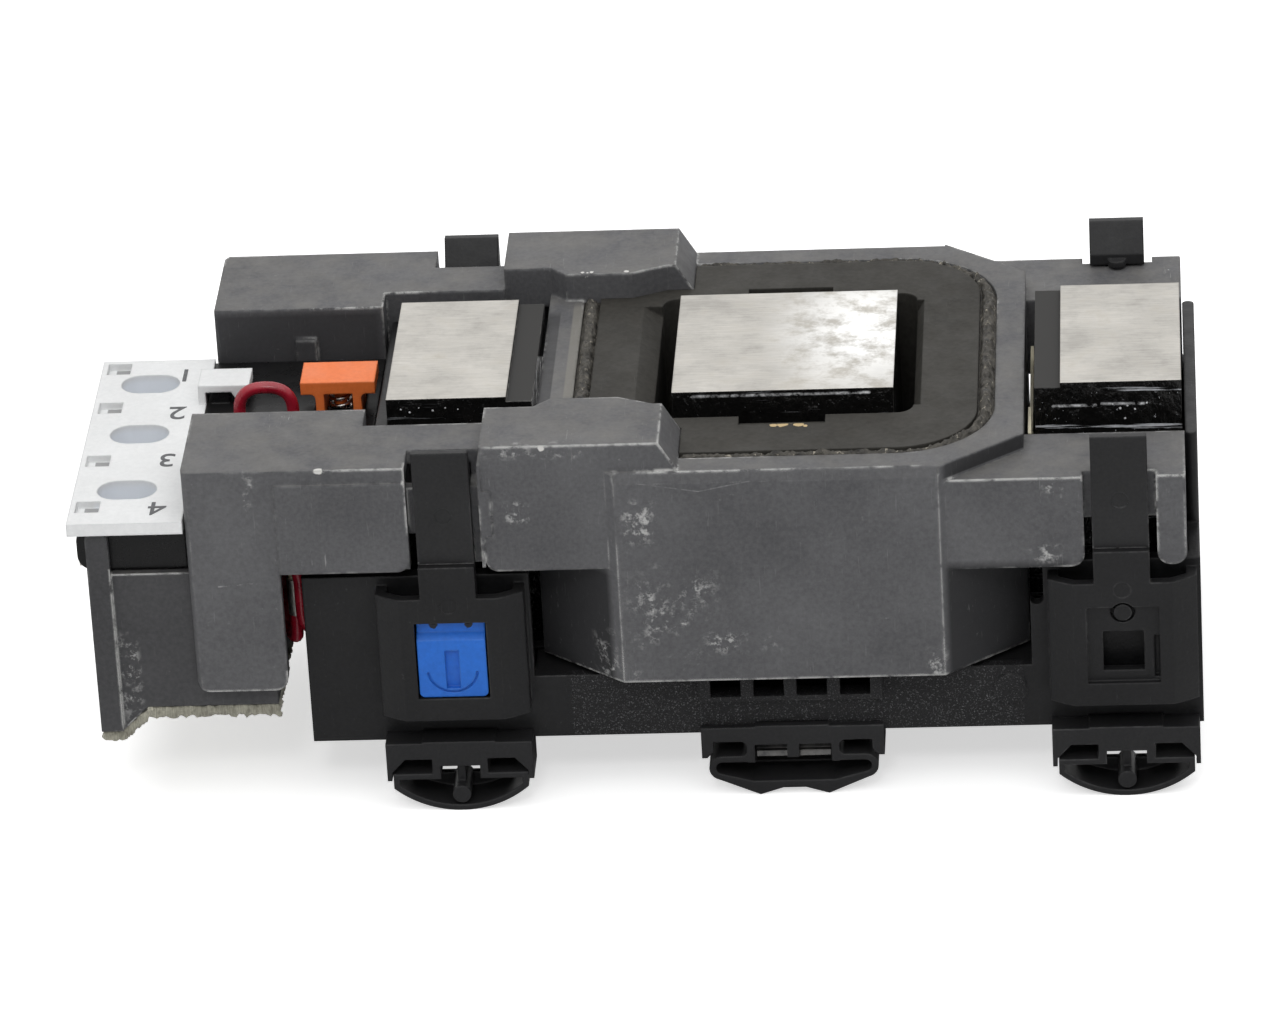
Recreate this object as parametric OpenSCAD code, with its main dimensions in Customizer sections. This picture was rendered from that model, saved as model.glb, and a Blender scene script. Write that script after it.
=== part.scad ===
// Lower half of a magnetic motor starter: coil, fixed magnet, carrier and coil terminals.
// X runs along the magnet, Y to the rear, Z up. The origin is on the ground under the centre pole.

/* [Magnet core] */
// Height of the ground pole faces above the ground
pole_z = 59; // [56:0.5:66]
// Length of the laminated core
core_len = 119.4; // [116:0.2:122]
// Thickness of the lamination stack
core_depth = 33.6; // [30:0.2:35]
// Width of the centre pole
centre_pole_w = 33.3; // [28:0.1:35]
// Width of the ground part of an outer pole
outer_pole_w = 18.1; // [15:0.1:18.4]
// Width of the unground ledge inside an outer pole
ledge_w = 3.9; // [2:0.1:4]
// Depth of that ledge under the pole face
ledge_drop = 0.8; // [0.4:0.1:2]
// Height of the yoke
yoke_h = 17.5; // [14:0.5:18]
// Radius of a rivet shank
rivet_r = 2.5; // [1.5:0.1:3]

/* [Coil casing] */
// Wall of the moulded casing
casing_wall = 1.8; // [1.4:0.1:2.2]
// Top plate of the arms
casing_top = 2.2; // [1.6:0.1:2.6]
// Height of the rim round the bobbin flange
rim_z = 56.3; // [55.6:0.1:57]
// Height of the left arms
left_z = 57.8; // [57:0.1:58.6]
// Height of the right arms
right_z = 53.6; // [53:0.1:53.8]
// Height of the high blocks
block_z = 60.8; // [60:0.1:62]
// Underside of the coil tub
tub_bottom_z = 21.4; // [20.9:0.1:24]
// Half width of the arms and skirts
arm_half = 37.6; // [35:0.1:40]
// How far the tub stands out from the skirts
tub_proud = 0.8; // [0.4:0.1:1.9]
// Rounding of the outer corners of the arms
corner_r = 1.8; // [0.6:0.1:2.4]
// Tub wall left of the centre
tub_left = 37.2; // [36:0.1:37.3]
// Tub wall right of the centre
tub_right = 36.1; // [35:0.1:36.3]
// Corner cut of the tub along X
tub_cut_x = 12.6; // [9:0.1:14]
// Corner cut of the tub along Y
tub_cut_y = 10.4; // [8:0.1:12]
// Left end of the arms
arm_left = 89; // [87:0.2:92]
// Width of the leg at the left end
leg_w = 13.8; // [11:0.2:14]
// Bottom of the leg
leg_z = 21; // [20:0.5:26]
// Bottom of the left skirt
left_skirt_z = 40.7; // [40:0.1:44]
// Bottom of the right skirt
right_skirt_z = 38.8; // [38.5:0.1:43]
// Front edge of the terminal bay between the arms
bay_front = 17.5; // [17:0.1:19]
// Rear edge of the terminal bay
bay_rear = 18; // [17.5:0.1:19]
// Half width of the openings round the outer poles
pole_bay_half = 23; // [22:0.1:24]

/* [Bobbin and winding] */
// Half length of the bobbin opening along X
bore_half_x = 19.6; // [18.6:0.1:20]
// Half length of the bobbin opening along Y
bore_half_y = 20.6; // [18.6:0.1:20.8]
// Wall of the bobbin tube
bobbin_wall = 1.6; // [1:0.1:1.8]
// Thickness of the top flange
flange_t = 2.2; // [1.6:0.1:2.4]
// Height of the flange above the rim
flange_rise = 0.3; // [0:0.1:0.6]
// Width of the potting bead at the sides
bead_w = 2.6; // [1.6:0.1:3]

/* [Carrier] */
// Underside of the carrier above the ground
base_z = 10.2; // [9.6:0.1:10.6]
// Floor of the carrier
floor_t = 2.4; // [2:0.1:2.8]
// Wall of the carrier
wall_t = 2; // [1.6:0.1:2.4]
// How far the carrier walls lie inside the skirts
wall_set = 3.6; // [3.4:0.1:4]
// Left end of the carrier
carrier_left = 72.5; // [71:0.1:73]
// Distance of the corner housings from the centre
corner_x = 50.2; // [49.8:0.1:50.6]
// Width of a corner housing
housing_w = 22.2; // [21:0.1:22.6]
// How far the panel of a corner housing stands out from the skirts
panel_proud = 1.5; // [1.3:0.1:2.4]
// Width of the flat panel
panel_w = 14.8; // [13:0.1:16]
// How far the housing rounds back at its sides
housing_sag = 2.1; // [1.5:0.1:2.4]
// Top of a corner housing
housing_top_z = 36.5; // [35:0.1:37]
// Bottom of a corner housing
housing_bottom_z = 16; // [15:0.1:17]
// Width of the window in a housing
window_w = 10.8; // [9:0.1:12]
// Height of the window
window_h = 12.8; // [11:0.1:13]
// Bottom of the window
window_z = 19.7; // [19:0.1:20.5]
// Depth of the window in the housings that have no lock button
recess_d = 0.9; // [0.5:0.1:1.4]

/* [Snap arms] */
// Width of a snap arm
snap_w = 8.4; // [6:0.1:9]
// Thickness of a snap arm
snap_t = 2; // [1.6:0.1:2.2]
// How far a snap arm stands out from the skirts
snap_proud = 0.4; // [0.3:0.1:0.8]
// Root of a snap arm
snap_root_z = 41.8; // [40:0.1:43]
// Top of the hook
snap_top_z = 60.3; // [59:0.1:62]
// Reach of the hook nose
nose_reach = 1.8; // [1.2:0.1:2.2]

/* [Lock button] */
// Room round the lock button
lock_gap = 0.25; // [0.2:0.05:0.4]
// Push of the lock button
lock_travel = 1.8; // [1:0.1:2]
// Thickness of the lock button
lock_t = 2.6; // [2:0.1:2.8]

/* [Feet] */
// Top of a foot plate
foot_top_z = 11.5; // [11.2:0.1:12]
// Depth of a foot front to rear
foot_depth = 7; // [5:0.5:9]
// Width of the centre foot
centre_foot_w = 27.6; // [25:0.2:30]
// Wall of the bow spring
bow_t = 0.9; // [0.7:0.1:1.2]

/* [Terminals] */
// Left end of the label plate
label_left = 106.7; // [105:0.1:109]
// Top of the label plate
label_z = 49.7; // [49:0.1:50.5]
// Thickness of the label plate
label_t = 2; // [1.5:0.1:2.2]
// Length of an oval hole
oval_len = 9; // [8:0.1:9.6]
// Width of an oval hole
oval_w = 6.2; // [5:0.1:6.6]
// Side of a square hole
square_hole = 3.6; // [3:0.1:3.8]
// Thickness of the felt pad
felt_t = 2; // [1:0.1:2.4]

/* [Auxiliary plunger] */
// Top of the plunger
plunger_z = 54.8; // [54.4:0.1:56]
// Push of the plunger
plunger_travel = 3; // [2:0.1:3.2]
// Length of the plunger head
head_len = 11.4; // [10:0.1:11.6]
// Depth of the plunger head
head_depth = 7.2; // [6:0.1:8]
// Thickness of the plunger head
head_t = 2; // [1.6:0.1:2.4]
// Outer diameter of the return spring
spring_d = 3.6; // [3:0.1:3.8]
// Wire of the return spring
wire_d = 0.6; // [0.4:0.05:0.65]

/* [Leads] */
// Diameter of a coil lead
lead_d = 1.9; // [1.5:0.1:2.1]

/* [Hidden] */
$fn = 48;
eps = 0.01;
// Clearance of pieces that lie against each other
seat = 0.05;
// Room between pieces that move or are laid in
room = 0.3;
// Widths that follow the skirts
tub_half = arm_half + tub_proud;
wall_half = arm_half - wall_set;
panel_y = arm_half + panel_proud;
snap_y = arm_half + snap_proud;
// Core and carrier
core_bottom_z = base_z + floor_t;
yoke_top_z = core_bottom_z + yoke_h;
core_half = core_len / 2;
stack_half = core_depth / 2;
outer_leg_w = outer_pole_w + ledge_w;
window_inner = core_half - outer_leg_w;
rivet_z = core_bottom_z + yoke_h / 2;
rivet_head_r = rivet_r + 1;
rivet_head_t = 1.2;
end_gap = 0.4;
end_wall_t = 1.8;
end_x = core_half + end_gap + end_wall_t;
low_wall_z = tub_bottom_z - 0.9;
tall_wall_z = 38;
end_wall_z = right_z - 0.6;
tall_x = 38.4;
rail_h = 5;
low_end_h = 7;
panel_t = 1.6;
housing_floor_t = 2;
// Circle through the housing's side corners and the panel's edges
round_c = (pow(housing_w / 2, 2) - pow(panel_w / 2, 2) + pow(panel_y - housing_sag, 2)
    - pow(panel_y, 2)) / (-2 * housing_sag);
round_r = sqrt(pow(panel_w / 2, 2) + pow(panel_y - round_c, 2));
guide_hole_r = 1.75;
guide_pin_r = 1;
guide_z = window_z + 8.8;
guide_depth = 3.6;
boss_r = guide_hole_r + 1.4;
recess_y = panel_y - recess_d;
recess_t = 1.6;
latch_hole = [6.1, 6.6];
latch_z = window_z + 1.8;
pin_r = 1.35;
pin_hole_r = 1.85;
pin_z = window_z + window_h - 1.1;
edge_slot = [0.8, 7];
// Ledge under the tub's corners, and the low stretch of wall beside the right housing
ledge_in = 21.8;
ledge_depth = 6.5;
ledge_t = 2;
saddle_left = tub_right + room;
saddle_z = 31.4;
// Centre front block with its four windows
block_half = centre_foot_w / 2;
centre_block_y = wall_half + 1.2;
slit_w = 4.6;
slit_pitch = 6.5;
slit_z = 16.8;
mark_r = 2.5;
mark_x = 33;
mark_z = 16.6;
// Snap arms
snap_foot_y = panel_y;
nose_z = right_z + 0.4;
snap_back = snap_y - snap_t;
groove_back = snap_back - room;
groove_half = snap_w / 2 + 1.2;
groove_front = max(tub_half, panel_y) + 1;
nose_tip = snap_back - nose_reach;
notch_back = nose_tip - 2.6;
groove_wall_z = 46;
hook_ridge = 1.2;
eject_r = 1.3;
eject_d = 0.15;
nose_h = 1.7;
nub_r = 1.4;
// Casing
cavity_half = tub_half - 4.9;
cavity_left = 31.9;
cavity_right = 31.8;
cavity_r = 15;
cavity_left_r = 5;
cavity_floor_z = yoke_top_z + room + 3;
cavity_roof_z = rim_z + flange_rise - flange_t - 0.2;
core_room = rivet_head_t + room;
block_left = 44.3;
block_right = 15;
block_top_right = 17.7;
block_in = 21.5;
block_in_left = 24;
// Corners of the high block along its inner side
block_bends = [37, 34.6, 24.4, 19];
block_skirt_z = 40.1;
block_skirt_right = 25.4;
block_set = 0.3;
deck_under_z = 41;
arm_step_x = 62.8;
strap_left_skirt = corner_x + groove_half;
end_block_x = corner_x + groove_half;
casing_right = core_half + 0.3;
skirt_r = 2;
rim_set = 0.6;
rim_edge = 1.7;
panel_rise = 0.35;
panel_top_z = 55.5;
rib_x = 75;
rib_half = 1.6;
rib_z = 52.8;
// Bobbin
flange_top_z = rim_z + flange_rise;
bobbin_bottom_z = cavity_floor_z + seat;
flange_half = cavity_half - bead_w / 2;
flange_left = cavity_left - bead_w;
flange_right = cavity_right - bead_w;
notch_half = 6.5;
notch_y = bore_half_y + 2.8;
bore_r = 2.5;
lower_flange_t = 1.8;
winding_gap = 0.3;
winding_half = flange_half - 1.6;
winding_x = flange_left - 0.9;
lip_left = 2.9;
lip_right = 1.1;
lip_drop = flange_t - 0.3;
// Feet
corner_foot_y = snap_y;
tongue_top = 5.6;
tongue_root = 4.6;
tongue_h = 1.5;
foot_fit = 0.12;
// Terminals
label_front = arm_half - 0.2;
label_rear = bay_rear - 0.2;
label_bottom_z = label_z - label_t;
arm_gap = 0.3;
ovals = [9.6, -7.6, 11.3 - arm_half];
squares = [15, 1.6, 21.2 - arm_half, 5.9 - arm_half];
oval_x = -98.6;
square_x = -104;
collar_t = 1;
collar_h = 3.4;
block_end = label_left - 0.9;
block_top_z = label_bottom_z - seat;
block_bottom_z = 40.5;
block_front = arm_half - 3.2;
block_rear = 17.7;
block_plate = 3;
block_end_r = 2.4;
shelf_d = 1.1;
block_wall = 1.6;
hollow_x = 97;
guide_top_z = plunger_z - head_t - plunger_travel - room;
guide_bottom_z = 36;
guide_left = arm_left + arm_gap;
guide_right = arm_step_x;
guide_front = bay_front - room;
guide_rear = bay_rear - room - 1;
clip_y = 5;
clip_w = 6;
clip_top_z = label_z + 3.1;
clip_len = 6.8;
clip_t = 1.1;
nib_w = 2;
nib_h = 2.6;
strip_t = 0.8;
strip_z = 41.5;
strip_w = 2.4;
strip_end = 93;
cage = [3.4, 3.8, 3];
cage_t = 0.6;
pocket_w = cage[1] + 2 * room;
housing_left = 104.3;
housing_right = 77.2;
housing_front = arm_half - casing_wall - arm_gap;
housing_rear = 17;
housing_top = 40.2;
housing_t = 1.7;
sole_t = 2.2;
post_w = 3.4;
post_top = 47;
post_bottom = 13.8;
bottom_step = 17.6;
sole_bend = 97;
// Plunger
plunger_x = -68.5;
plunger_y = 1.7;
leg_x = 3.5;
plunger_leg_t = 1.3;
plunger_leg_z = 41.2;
leg_fillet = 0.8;
crossbar_t = 1.2;
core_pin_r = spring_d / 2 - wire_d - 0.25;
spring_seat_z = 45;
spring_top_z = plunger_z - head_t - seat;
bridge_half = 9;
bridge_w = 3;
bridge_t = 0.8;
contact_z = plunger_leg_z + crossbar_t - plunger_travel - seat;
seat_half = leg_x - plunger_leg_t - room;
seat_t = 1;
clip_top_drop = label_z - clip_top_z;
spring_turns = 6;
// Leads: corner points of each route, and how far each bend reaches from its corner
bend_steps = 5;
loop_y = -3;
loop_ends = [-83.6, -75.4];
loop_top = 54.8;
lead_y = 7.6 - arm_half;
lead_z = strip_z - lead_d / 2 - seat;
lead_x = -strip_end - 1;
crimp_len = 6;
crimp_d = 2.2;
crimp_y = lead_y + 2.4;
crimp_a = [-74.4, crimp_y, 28.85];
crimp_b = [-68.55, lead_y, 27];
sleeve_d = 1.6;
sleeve_y = -pole_bay_half - casing_wall - 2.2;
sleeve_z = [44, 47.4];
sleeve_end = -30;
loop_corners = [[lead_x, squares[2], lead_z], [loop_ends[0], loop_y, 40.2],
    [loop_ends[0], loop_y, loop_top], [loop_ends[1], loop_y, loop_top], [loop_ends[1], loop_y, 34],
    [-77.6, -16, 29.3], [-75.9, crimp_y + 3.4, 23.9], [crimp_a[0], crimp_y, 24.4],
    crimp_a - [0, 0, seat]];
loop_bends = [4, 3.9, 3.9, 4, 4, 1.8, 1.85];
short_corners = [[lead_x, squares[3], lead_z], [-90.5, squares[3] + 0.3, deck_under_z - 1.2],
    [-79, lead_y, 39.7], [-73.3, lead_y, 39.3], [-73.2, lead_y, crimp_b[2]],
    crimp_b - [seat, 0, 0]];
short_bends = [1.5, 1.5, 4, 3.2];
sleeve_a_corners = [crimp_a + [0, 0, crimp_len + seat], [crimp_a[0], crimp_y, sleeve_z[0]],
    [-66, sleeve_y, sleeve_z[0]], [sleeve_end, sleeve_y, sleeve_z[0]]];
sleeve_a_bends = [4, 2];
sleeve_b_corners = [crimp_b + [crimp_len + seat, 0, 0], [-59.6, lead_y, crimp_b[2]],
    [-55.8, lead_y + 2.8, 30.2], [-51.8, sleeve_y - 2.6, sleeve_z[1]],
    [-47.6, sleeve_y, sleeve_z[1]], [sleeve_end, sleeve_y, sleeve_z[1]]];
sleeve_b_bends = [2, 3, 3.5, 1.3];
lock_spring_d = 2 * guide_hole_r - 0.3;
lock_wire_d = 0.4;
lock_turns = 5;
lock_face_y = panel_y - 0.2;

function reversed(p) = [for (i = [len(p) - 1:-1:0]) p[i]];

// Span of a given half width round a middle
function around(middle, half) = [middle - half, middle + half];

// Box between two corners
module block(x, y, z) {
    translate([x[0], y[0], z[0]])
        cube([x[1] - x[0], y[1] - y[0], z[1] - z[0]]);
}

// A piece and its mirror image across the XZ plane
module both_sides() {
    children();
    mirror([0, 1, 0])
        children();
}

// Outline drawn in X and Z, pulled along Y
module along_y(y) {
    translate([0, y[1], 0])
        rotate([90, 0, 0])
            linear_extrude(y[1] - y[0])
                children();
}

// Outline drawn in Y and Z, pulled along X
module along_x(x) {
    translate([x[0], 0, 0])
        rotate([90, 0, 90])
            linear_extrude(x[1] - x[0])
                children();
}

module rod_y(r, x, y, z) {
    translate([x, y[1], z])
        rotate([90, 0, 0])
            cylinder(r = r, h = y[1] - y[0]);
}

// Rectangle with its lower corners rounded
module tongue_plate(x, z, r_left, r_right) {
    translate([x[0], z[0] + max(r_left, r_right)])
        square([x[1] - x[0], z[1] - z[0] - max(r_left, r_right)]);
    translate([x[0] + r_left, z[0]])
        square([x[1] - x[0] - r_left - r_right, z[1] - z[0]]);
    if (r_left > 0)
        translate([x[0] + r_left, z[0] + r_left])
            circle(r_left);
    if (r_right > 0)
        translate([x[1] - r_right, z[0] + r_right])
            circle(r_right);
}

// Plan with two corner radii, one for the left corners and one for the right
module d_plan(left, right, half, r_left, r_right) {
    translate([r_left - left, -half])
        square([left + right - r_left - r_right, 2 * half]);
    translate([-left, r_left - half])
        square([r_left + eps, 2 * (half - r_left)]);
    translate([right - r_right - eps, r_right - half])
        square([r_right + eps, 2 * (half - r_right)]);
    for (s = [-1, 1]) {
        translate([r_left - left, s * (half - r_left)])
            circle(r_left);
        translate([right - r_right, s * (half - r_right)])
            circle(r_right);
    }
}

// Route through corner points, each bend reaching the same way along both of its legs
function unit(v) = v / norm(v);
function bend(a, b, c, reach) = [for (i = [0:bend_steps])
    let (t = i / bend_steps, p = b + reach * unit(a - b), q = b + reach * unit(c - b))
    (1 - t) * (1 - t) * p + 2 * t * (1 - t) * b + t * t * q];
function rounded_route(corners, reaches) = [corners[0],
    for (i = [1:len(corners) - 2])
        each bend(corners[i - 1], corners[i], corners[i + 1], reaches[i - 1]),
    corners[len(corners) - 1]];

// Round tube swept along a path whose frame keeps one fixed side direction
function unit(v) = v / norm(v);
function way(p, i) = unit(p[min(i + 1, len(p) - 1)] - p[max(i - 1, 0)]);
function side_of(t, ref) = unit(cross(t, ref));
function tube_points(p, r, sides, ref) = [for (i = [0:len(p) - 1])
    let (t = way(p, i), u = side_of(t, ref), v = cross(u, t))
    for (k = [0:sides - 1]) p[i] + r * (cos(360 * k / sides) * u + sin(360 * k / sides) * v)];
function tube_faces(rings, sides) = concat(
    [for (k = [1:sides - 2]) [0, k, k + 1]],
    [for (k = [1:sides - 2]) let (b = (rings - 1) * sides) [b, b + k + 1, b + k]],
    [for (i = [0:rings - 2], k = [0:sides - 1]) let (a = i * sides + k, b = i * sides
        + (k + 1) % sides) each [[a, a + sides, b], [b, a + sides, b + sides]]]);

module tube(p, d, sides, ref) {
    polyhedron(tube_points(p, d / 2, sides, ref), tube_faces(len(p), sides));
}

// Helix along Z with a flat start and end, its ends straight for one wire diameter
rings_a_turn = 8;
function helix(r, h, turns, wire) = concat(
    [[r, -wire, wire / 2]],
    [for (i = [0:rings_a_turn * turns]) let (a = 360 * i / rings_a_turn)
        [r * cos(a), r * sin(a), wire / 2 + (h - wire) * i / (rings_a_turn * turns)]],
    [[r, wire, h - wire / 2]]);
// Least gap of a wire to itself, measured between points at least half a turn apart
function self_gap(p, wire) = min([for (i = [0:len(p) - 1], j = [i + rings_a_turn / 2:1:len(p) - 1])
    norm(p[i] - p[j])]) - wire;

module spring(name, d, h, turns, wire) {
    p = helix(d / 2 - wire / 2, h, turns, wire);
    echo(str(name, ": least gap to itself ", self_gap(p, wire), " mm"));
    tube(p, wire, 6, [0, 0, 1]);
}

// Magnet core

// Right half of the core's outline, from its bottom corner to the centre pole
half_core = [[core_half, core_bottom_z], [core_half, pole_z], [core_half - outer_pole_w, pole_z],
    [core_half - outer_pole_w, pole_z - ledge_drop], [window_inner, pole_z - ledge_drop],
    [window_inner, yoke_top_z], [centre_pole_w / 2, yoke_top_z], [centre_pole_w / 2, pole_z]];

module core_outline() {
    polygon(concat(half_core, [for (p = reversed(half_core)) [-p[0], p[1]]]));
}

rivet_places = [for (s = [-1, 1]) each [s * (core_half - outer_leg_w / 2), s * centre_pole_w / 2]];

module magnet_core() {
    color("silver")
        difference() {
            along_y([-stack_half, stack_half])
                core_outline();
            for (x = rivet_places)
                rod_y(rivet_r + seat, x, [-core_depth, core_depth], rivet_z);
        }
}

module core_rivets() {
    color("dimgray")
        for (x = rivet_places) {
            rod_y(rivet_r, x, [-stack_half - eps, stack_half + eps], rivet_z);
            both_sides()
                rod_y(rivet_head_r, x, [stack_half, stack_half + rivet_head_t], rivet_z);
        }
}

// Coil casing

module tub_plan() {
    polygon([[-tub_left, tub_cut_y - tub_half], [tub_cut_x - tub_left, -tub_half],
        [tub_right - tub_cut_x, -tub_half], [tub_right, tub_cut_y - tub_half],
        [tub_right, tub_half - tub_cut_y], [tub_right - tub_cut_x, tub_half],
        [tub_cut_x - tub_left, tub_half], [-tub_left, tub_half - tub_cut_y]]);
}

module bore_plan(grow) {
    d_plan(bore_half_x + grow, bore_half_x + grow, bore_half_y + grow, bore_r, bore_r);
}

module notch_plan(grow) {
    translate([-notch_half, -notch_y - grow])
        square(2 * [notch_half, notch_y + grow]);
}

module cavity_plan() {
    d_plan(cavity_left, cavity_right, cavity_half, cavity_left_r, cavity_r);
}

module high_block_plan(grow) {
    polygon([[-block_left, block_in_left - grow], [-block_bends[0] - grow, block_in_left - grow],
        [-block_bends[1], block_in - grow], [-block_bends[2], block_in - grow],
        [-block_bends[3], block_in_left - grow], [grow - block_right, block_in_left - grow],
        [grow - block_right, arm_half - block_set], [-block_left, arm_half - block_set]]);
}

module high_block() {
    intersection() {
        translate([0, 0, block_skirt_z])
            linear_extrude(block_z - block_skirt_z)
                high_block_plan(0);
        along_y([0, arm_half])
            polygon([[-block_left, cavity_roof_z], [-block_right, cavity_roof_z],
                [-block_right, rim_z], [-block_top_right, block_z], [-block_left, block_z]]);
    }
}

// Skins of the rear side, drawn in X and Z. The front side mirrors them.
module skirts() {
    along_y([arm_half - casing_wall, arm_half]) {
        tongue_plate([-arm_left, leg_w - arm_left], [leg_z, left_z], skirt_r, skirt_r);
        tongue_plate([-arm_left, -strap_left_skirt], [left_skirt_z, left_z], 0, skirt_r);
        tongue_plate([tub_right - tub_cut_x, corner_x - groove_half], [right_skirt_z, right_z],
            0, skirt_r);
        tongue_plate([end_block_x, casing_right], [right_skirt_z, right_z], skirt_r, skirt_r);
    }
    along_y([arm_half - casing_wall, arm_half + panel_rise])
        tongue_plate([leg_w - arm_left, -strap_left_skirt], [left_skirt_z, panel_top_z], 0, skirt_r);
    along_y([arm_half - block_set - casing_wall, arm_half - block_set])
        tongue_plate([-block_left, -block_skirt_right], [block_skirt_z, block_z - 4], skirt_r, 0);
}

// Arm left of the left pole, open underneath, and its narrow run past the pole
module left_arm(bay) {
    difference() {
        union() {
            block([-arm_left, -arm_step_x], [bay, arm_half], [deck_under_z, left_z]);
            block([-arm_step_x - eps, -block_left + eps], [pole_bay_half, arm_half],
                [deck_under_z, left_z]);
        }
        block([casing_wall - arm_left, -arm_step_x - casing_wall],
            [bay + casing_wall, arm_half - casing_wall], [0, left_z - casing_top]);
        block([-arm_step_x - casing_wall - eps, -block_left - casing_wall],
            [pole_bay_half + casing_wall, arm_half - casing_wall], [0, left_z - casing_top]);
    }
}

module right_arm() {
    difference() {
        block([tub_right - tub_cut_x, casing_right], [pole_bay_half, arm_half],
            [deck_under_z, right_z]);
        block([tub_right + casing_wall, casing_right - casing_wall],
            [pole_bay_half + casing_wall, arm_half - casing_wall], [0, right_z - casing_top]);
    }
}

// Groove for a snap arm, with the wall behind it and the seat of its hook
module snap_groove_wall(x) {
    block([x - groove_half - casing_wall, x + groove_half + casing_wall],
        [groove_back - casing_wall, arm_half], [groove_wall_z, right_z]);
}

module snap_groove(x) {
    block([x - groove_half, x + groove_half], [groove_back, groove_front], [0, block_z + 1]);
    block([x - groove_half, x + groove_half], [notch_back, groove_front], [right_z, block_z + 1]);
}

// Outline from above, with the outer corners of the arms rounded
module casing_plan() {
    d_plan(arm_left, casing_right, arm_half + panel_rise, corner_r, corner_r / 2);
    tub_plan();
}

module coil_casing() {
    color("dimgray")
        intersection() {
            casing_body();
            linear_extrude(block_z + 1)
                casing_plan();
        }
}

module casing_body() {
        difference() {
            union() {
                translate([0, 0, tub_bottom_z])
                    linear_extrude(rim_z - tub_bottom_z)
                        tub_plan();
                left_arm(bay_rear);
                block(around(-rib_x, rib_half), [bay_rear - 1, bay_rear + eps],
                    [deck_under_z, rib_z]);
                mirror([0, 1, 0])
                    left_arm(bay_front);
                both_sides() {
                    right_arm();
                    high_block();
                    skirts();
                    for (x = [-corner_x, corner_x])
                        snap_groove_wall(x);
                }
            }
            both_sides()
                for (x = [-corner_x, corner_x])
                    snap_groove(x);
            translate([0, 0, cavity_floor_z])
                linear_extrude(cavity_roof_z - cavity_floor_z)
                    cavity_plan();
            translate([0, 0, cavity_roof_z - eps])
                linear_extrude(block_z)
                    difference() {
                        cavity_plan();
                        both_sides()
                            high_block_plan(0);
                    }
            linear_extrude(block_z)
                bore_plan(0);
            block(around(0, core_half), around(0, stack_half + core_room),
                [0, yoke_top_z + seat]);
            both_sides()
                along_x([tub_cut_x - tub_left, tub_right - tub_cut_x])
                    polygon([[tub_half - rim_set, rim_z + 1], [tub_half - rim_set, rim_z],
                        [tub_half, rim_z - rim_edge], [tub_half + 1, rim_z - rim_edge],
                        [tub_half + 1, rim_z + 1]]);
            for (z = sleeve_z)
                translate([-block_left - 3, sleeve_y, z])
                    rotate([0, 90, 0])
                        cylinder(r = sleeve_d / 2 + 0.2, h = block_left + 3 - cavity_left + 1);
        }
}

// Bobbin, winding and bead

module flange_plan(grow) {
    d_plan(flange_left + grow, flange_right + grow, flange_half + grow,
        cavity_left_r - bead_w / 2 + grow, cavity_r - bead_w + grow);
}

// Sloped edge of the opening, at the side of a pole
module bore_lip(reach) {
    along_y(around(0, bore_half_y - bore_r))
        polygon([[bore_half_x - eps, flange_top_z - lip_drop], [bore_half_x - eps, flange_top_z + eps],
            [bore_half_x + reach, flange_top_z + eps]]);
}

module coil_bobbin() {
    color([0.24, 0.24, 0.25])
        difference() {
            union() {
                translate([0, 0, flange_top_z - flange_t])
                    linear_extrude(flange_t)
                        difference() {
                            flange_plan(0);
                            both_sides()
                                high_block_plan(seat);
                        }
                translate([0, 0, bobbin_bottom_z])
                    linear_extrude(flange_top_z - flange_t - bobbin_bottom_z + eps)
                        bore_plan(bobbin_wall);
                translate([0, 0, bobbin_bottom_z])
                    linear_extrude(lower_flange_t)
                        d_plan(winding_x, winding_x, winding_half, cavity_left_r, cavity_r - bead_w);
            }
            translate([0, 0, bobbin_bottom_z - 1])
                linear_extrude(block_z)
                    bore_plan(0);
            translate([0, 0, flange_top_z - 1.2])
                linear_extrude(block_z)
                    notch_plan(0);
            bore_lip(lip_right);
            mirror([1, 0, 0])
                bore_lip(lip_left);
        }
}

module coil_winding() {
    z = bobbin_bottom_z + lower_flange_t + winding_gap;
    color("peru")
        translate([0, 0, z])
            linear_extrude(flange_top_z - flange_t - winding_gap - z)
                difference() {
                    d_plan(winding_x, winding_x, winding_half, cavity_left_r, cavity_r - bead_w);
                    bore_plan(bobbin_wall + winding_gap);
                }
}

module potting_bead() {
    color([0.33, 0.32, 0.3])
        translate([0, 0, cavity_roof_z + seat])
            linear_extrude(rim_z - cavity_roof_z - seat)
                difference() {
                    d_plan(cavity_left - seat, cavity_right - seat, cavity_half - seat,
                        cavity_left_r - seat, cavity_r - seat);
                    flange_plan(seat);
                    both_sides()
                        high_block_plan(2 * seat);
                }
}

sheet_t = 0.5;
sheet_notch = 7;
sheet_tab = 8.8;

module insulation_sheet() {
    x = (tub_right + window_inner) / 2;
    sheet_half = stack_half + 4.6;
    color("beige")
        along_x([x - sheet_t / 2, x + sheet_t / 2])
            polygon([[-sheet_half, yoke_top_z + room], [sheet_half, yoke_top_z + room],
                [sheet_half, right_z - sheet_notch], [sheet_tab - sheet_half, right_z - sheet_notch],
                [sheet_tab - sheet_half, right_z - 2 * room], [-sheet_half, right_z - 2 * room]]);
}

// Carrier

module housing_plan(inset) {
    intersection() {
        translate([0, round_c])
            circle(round_r - inset, $fn = 96);
        translate([inset - housing_w / 2, wall_half - wall_t])
            square([housing_w - 2 * inset, panel_y - inset - wall_half + wall_t]);
    }
}

// Stump on a corner housing that carries a snap arm
module snap_stump() {
    block(around(0, snap_w / 2), [panel_y - panel_t - 1.3, panel_y],
        [window_z + window_h + 1, snap_root_z]);
}

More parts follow.
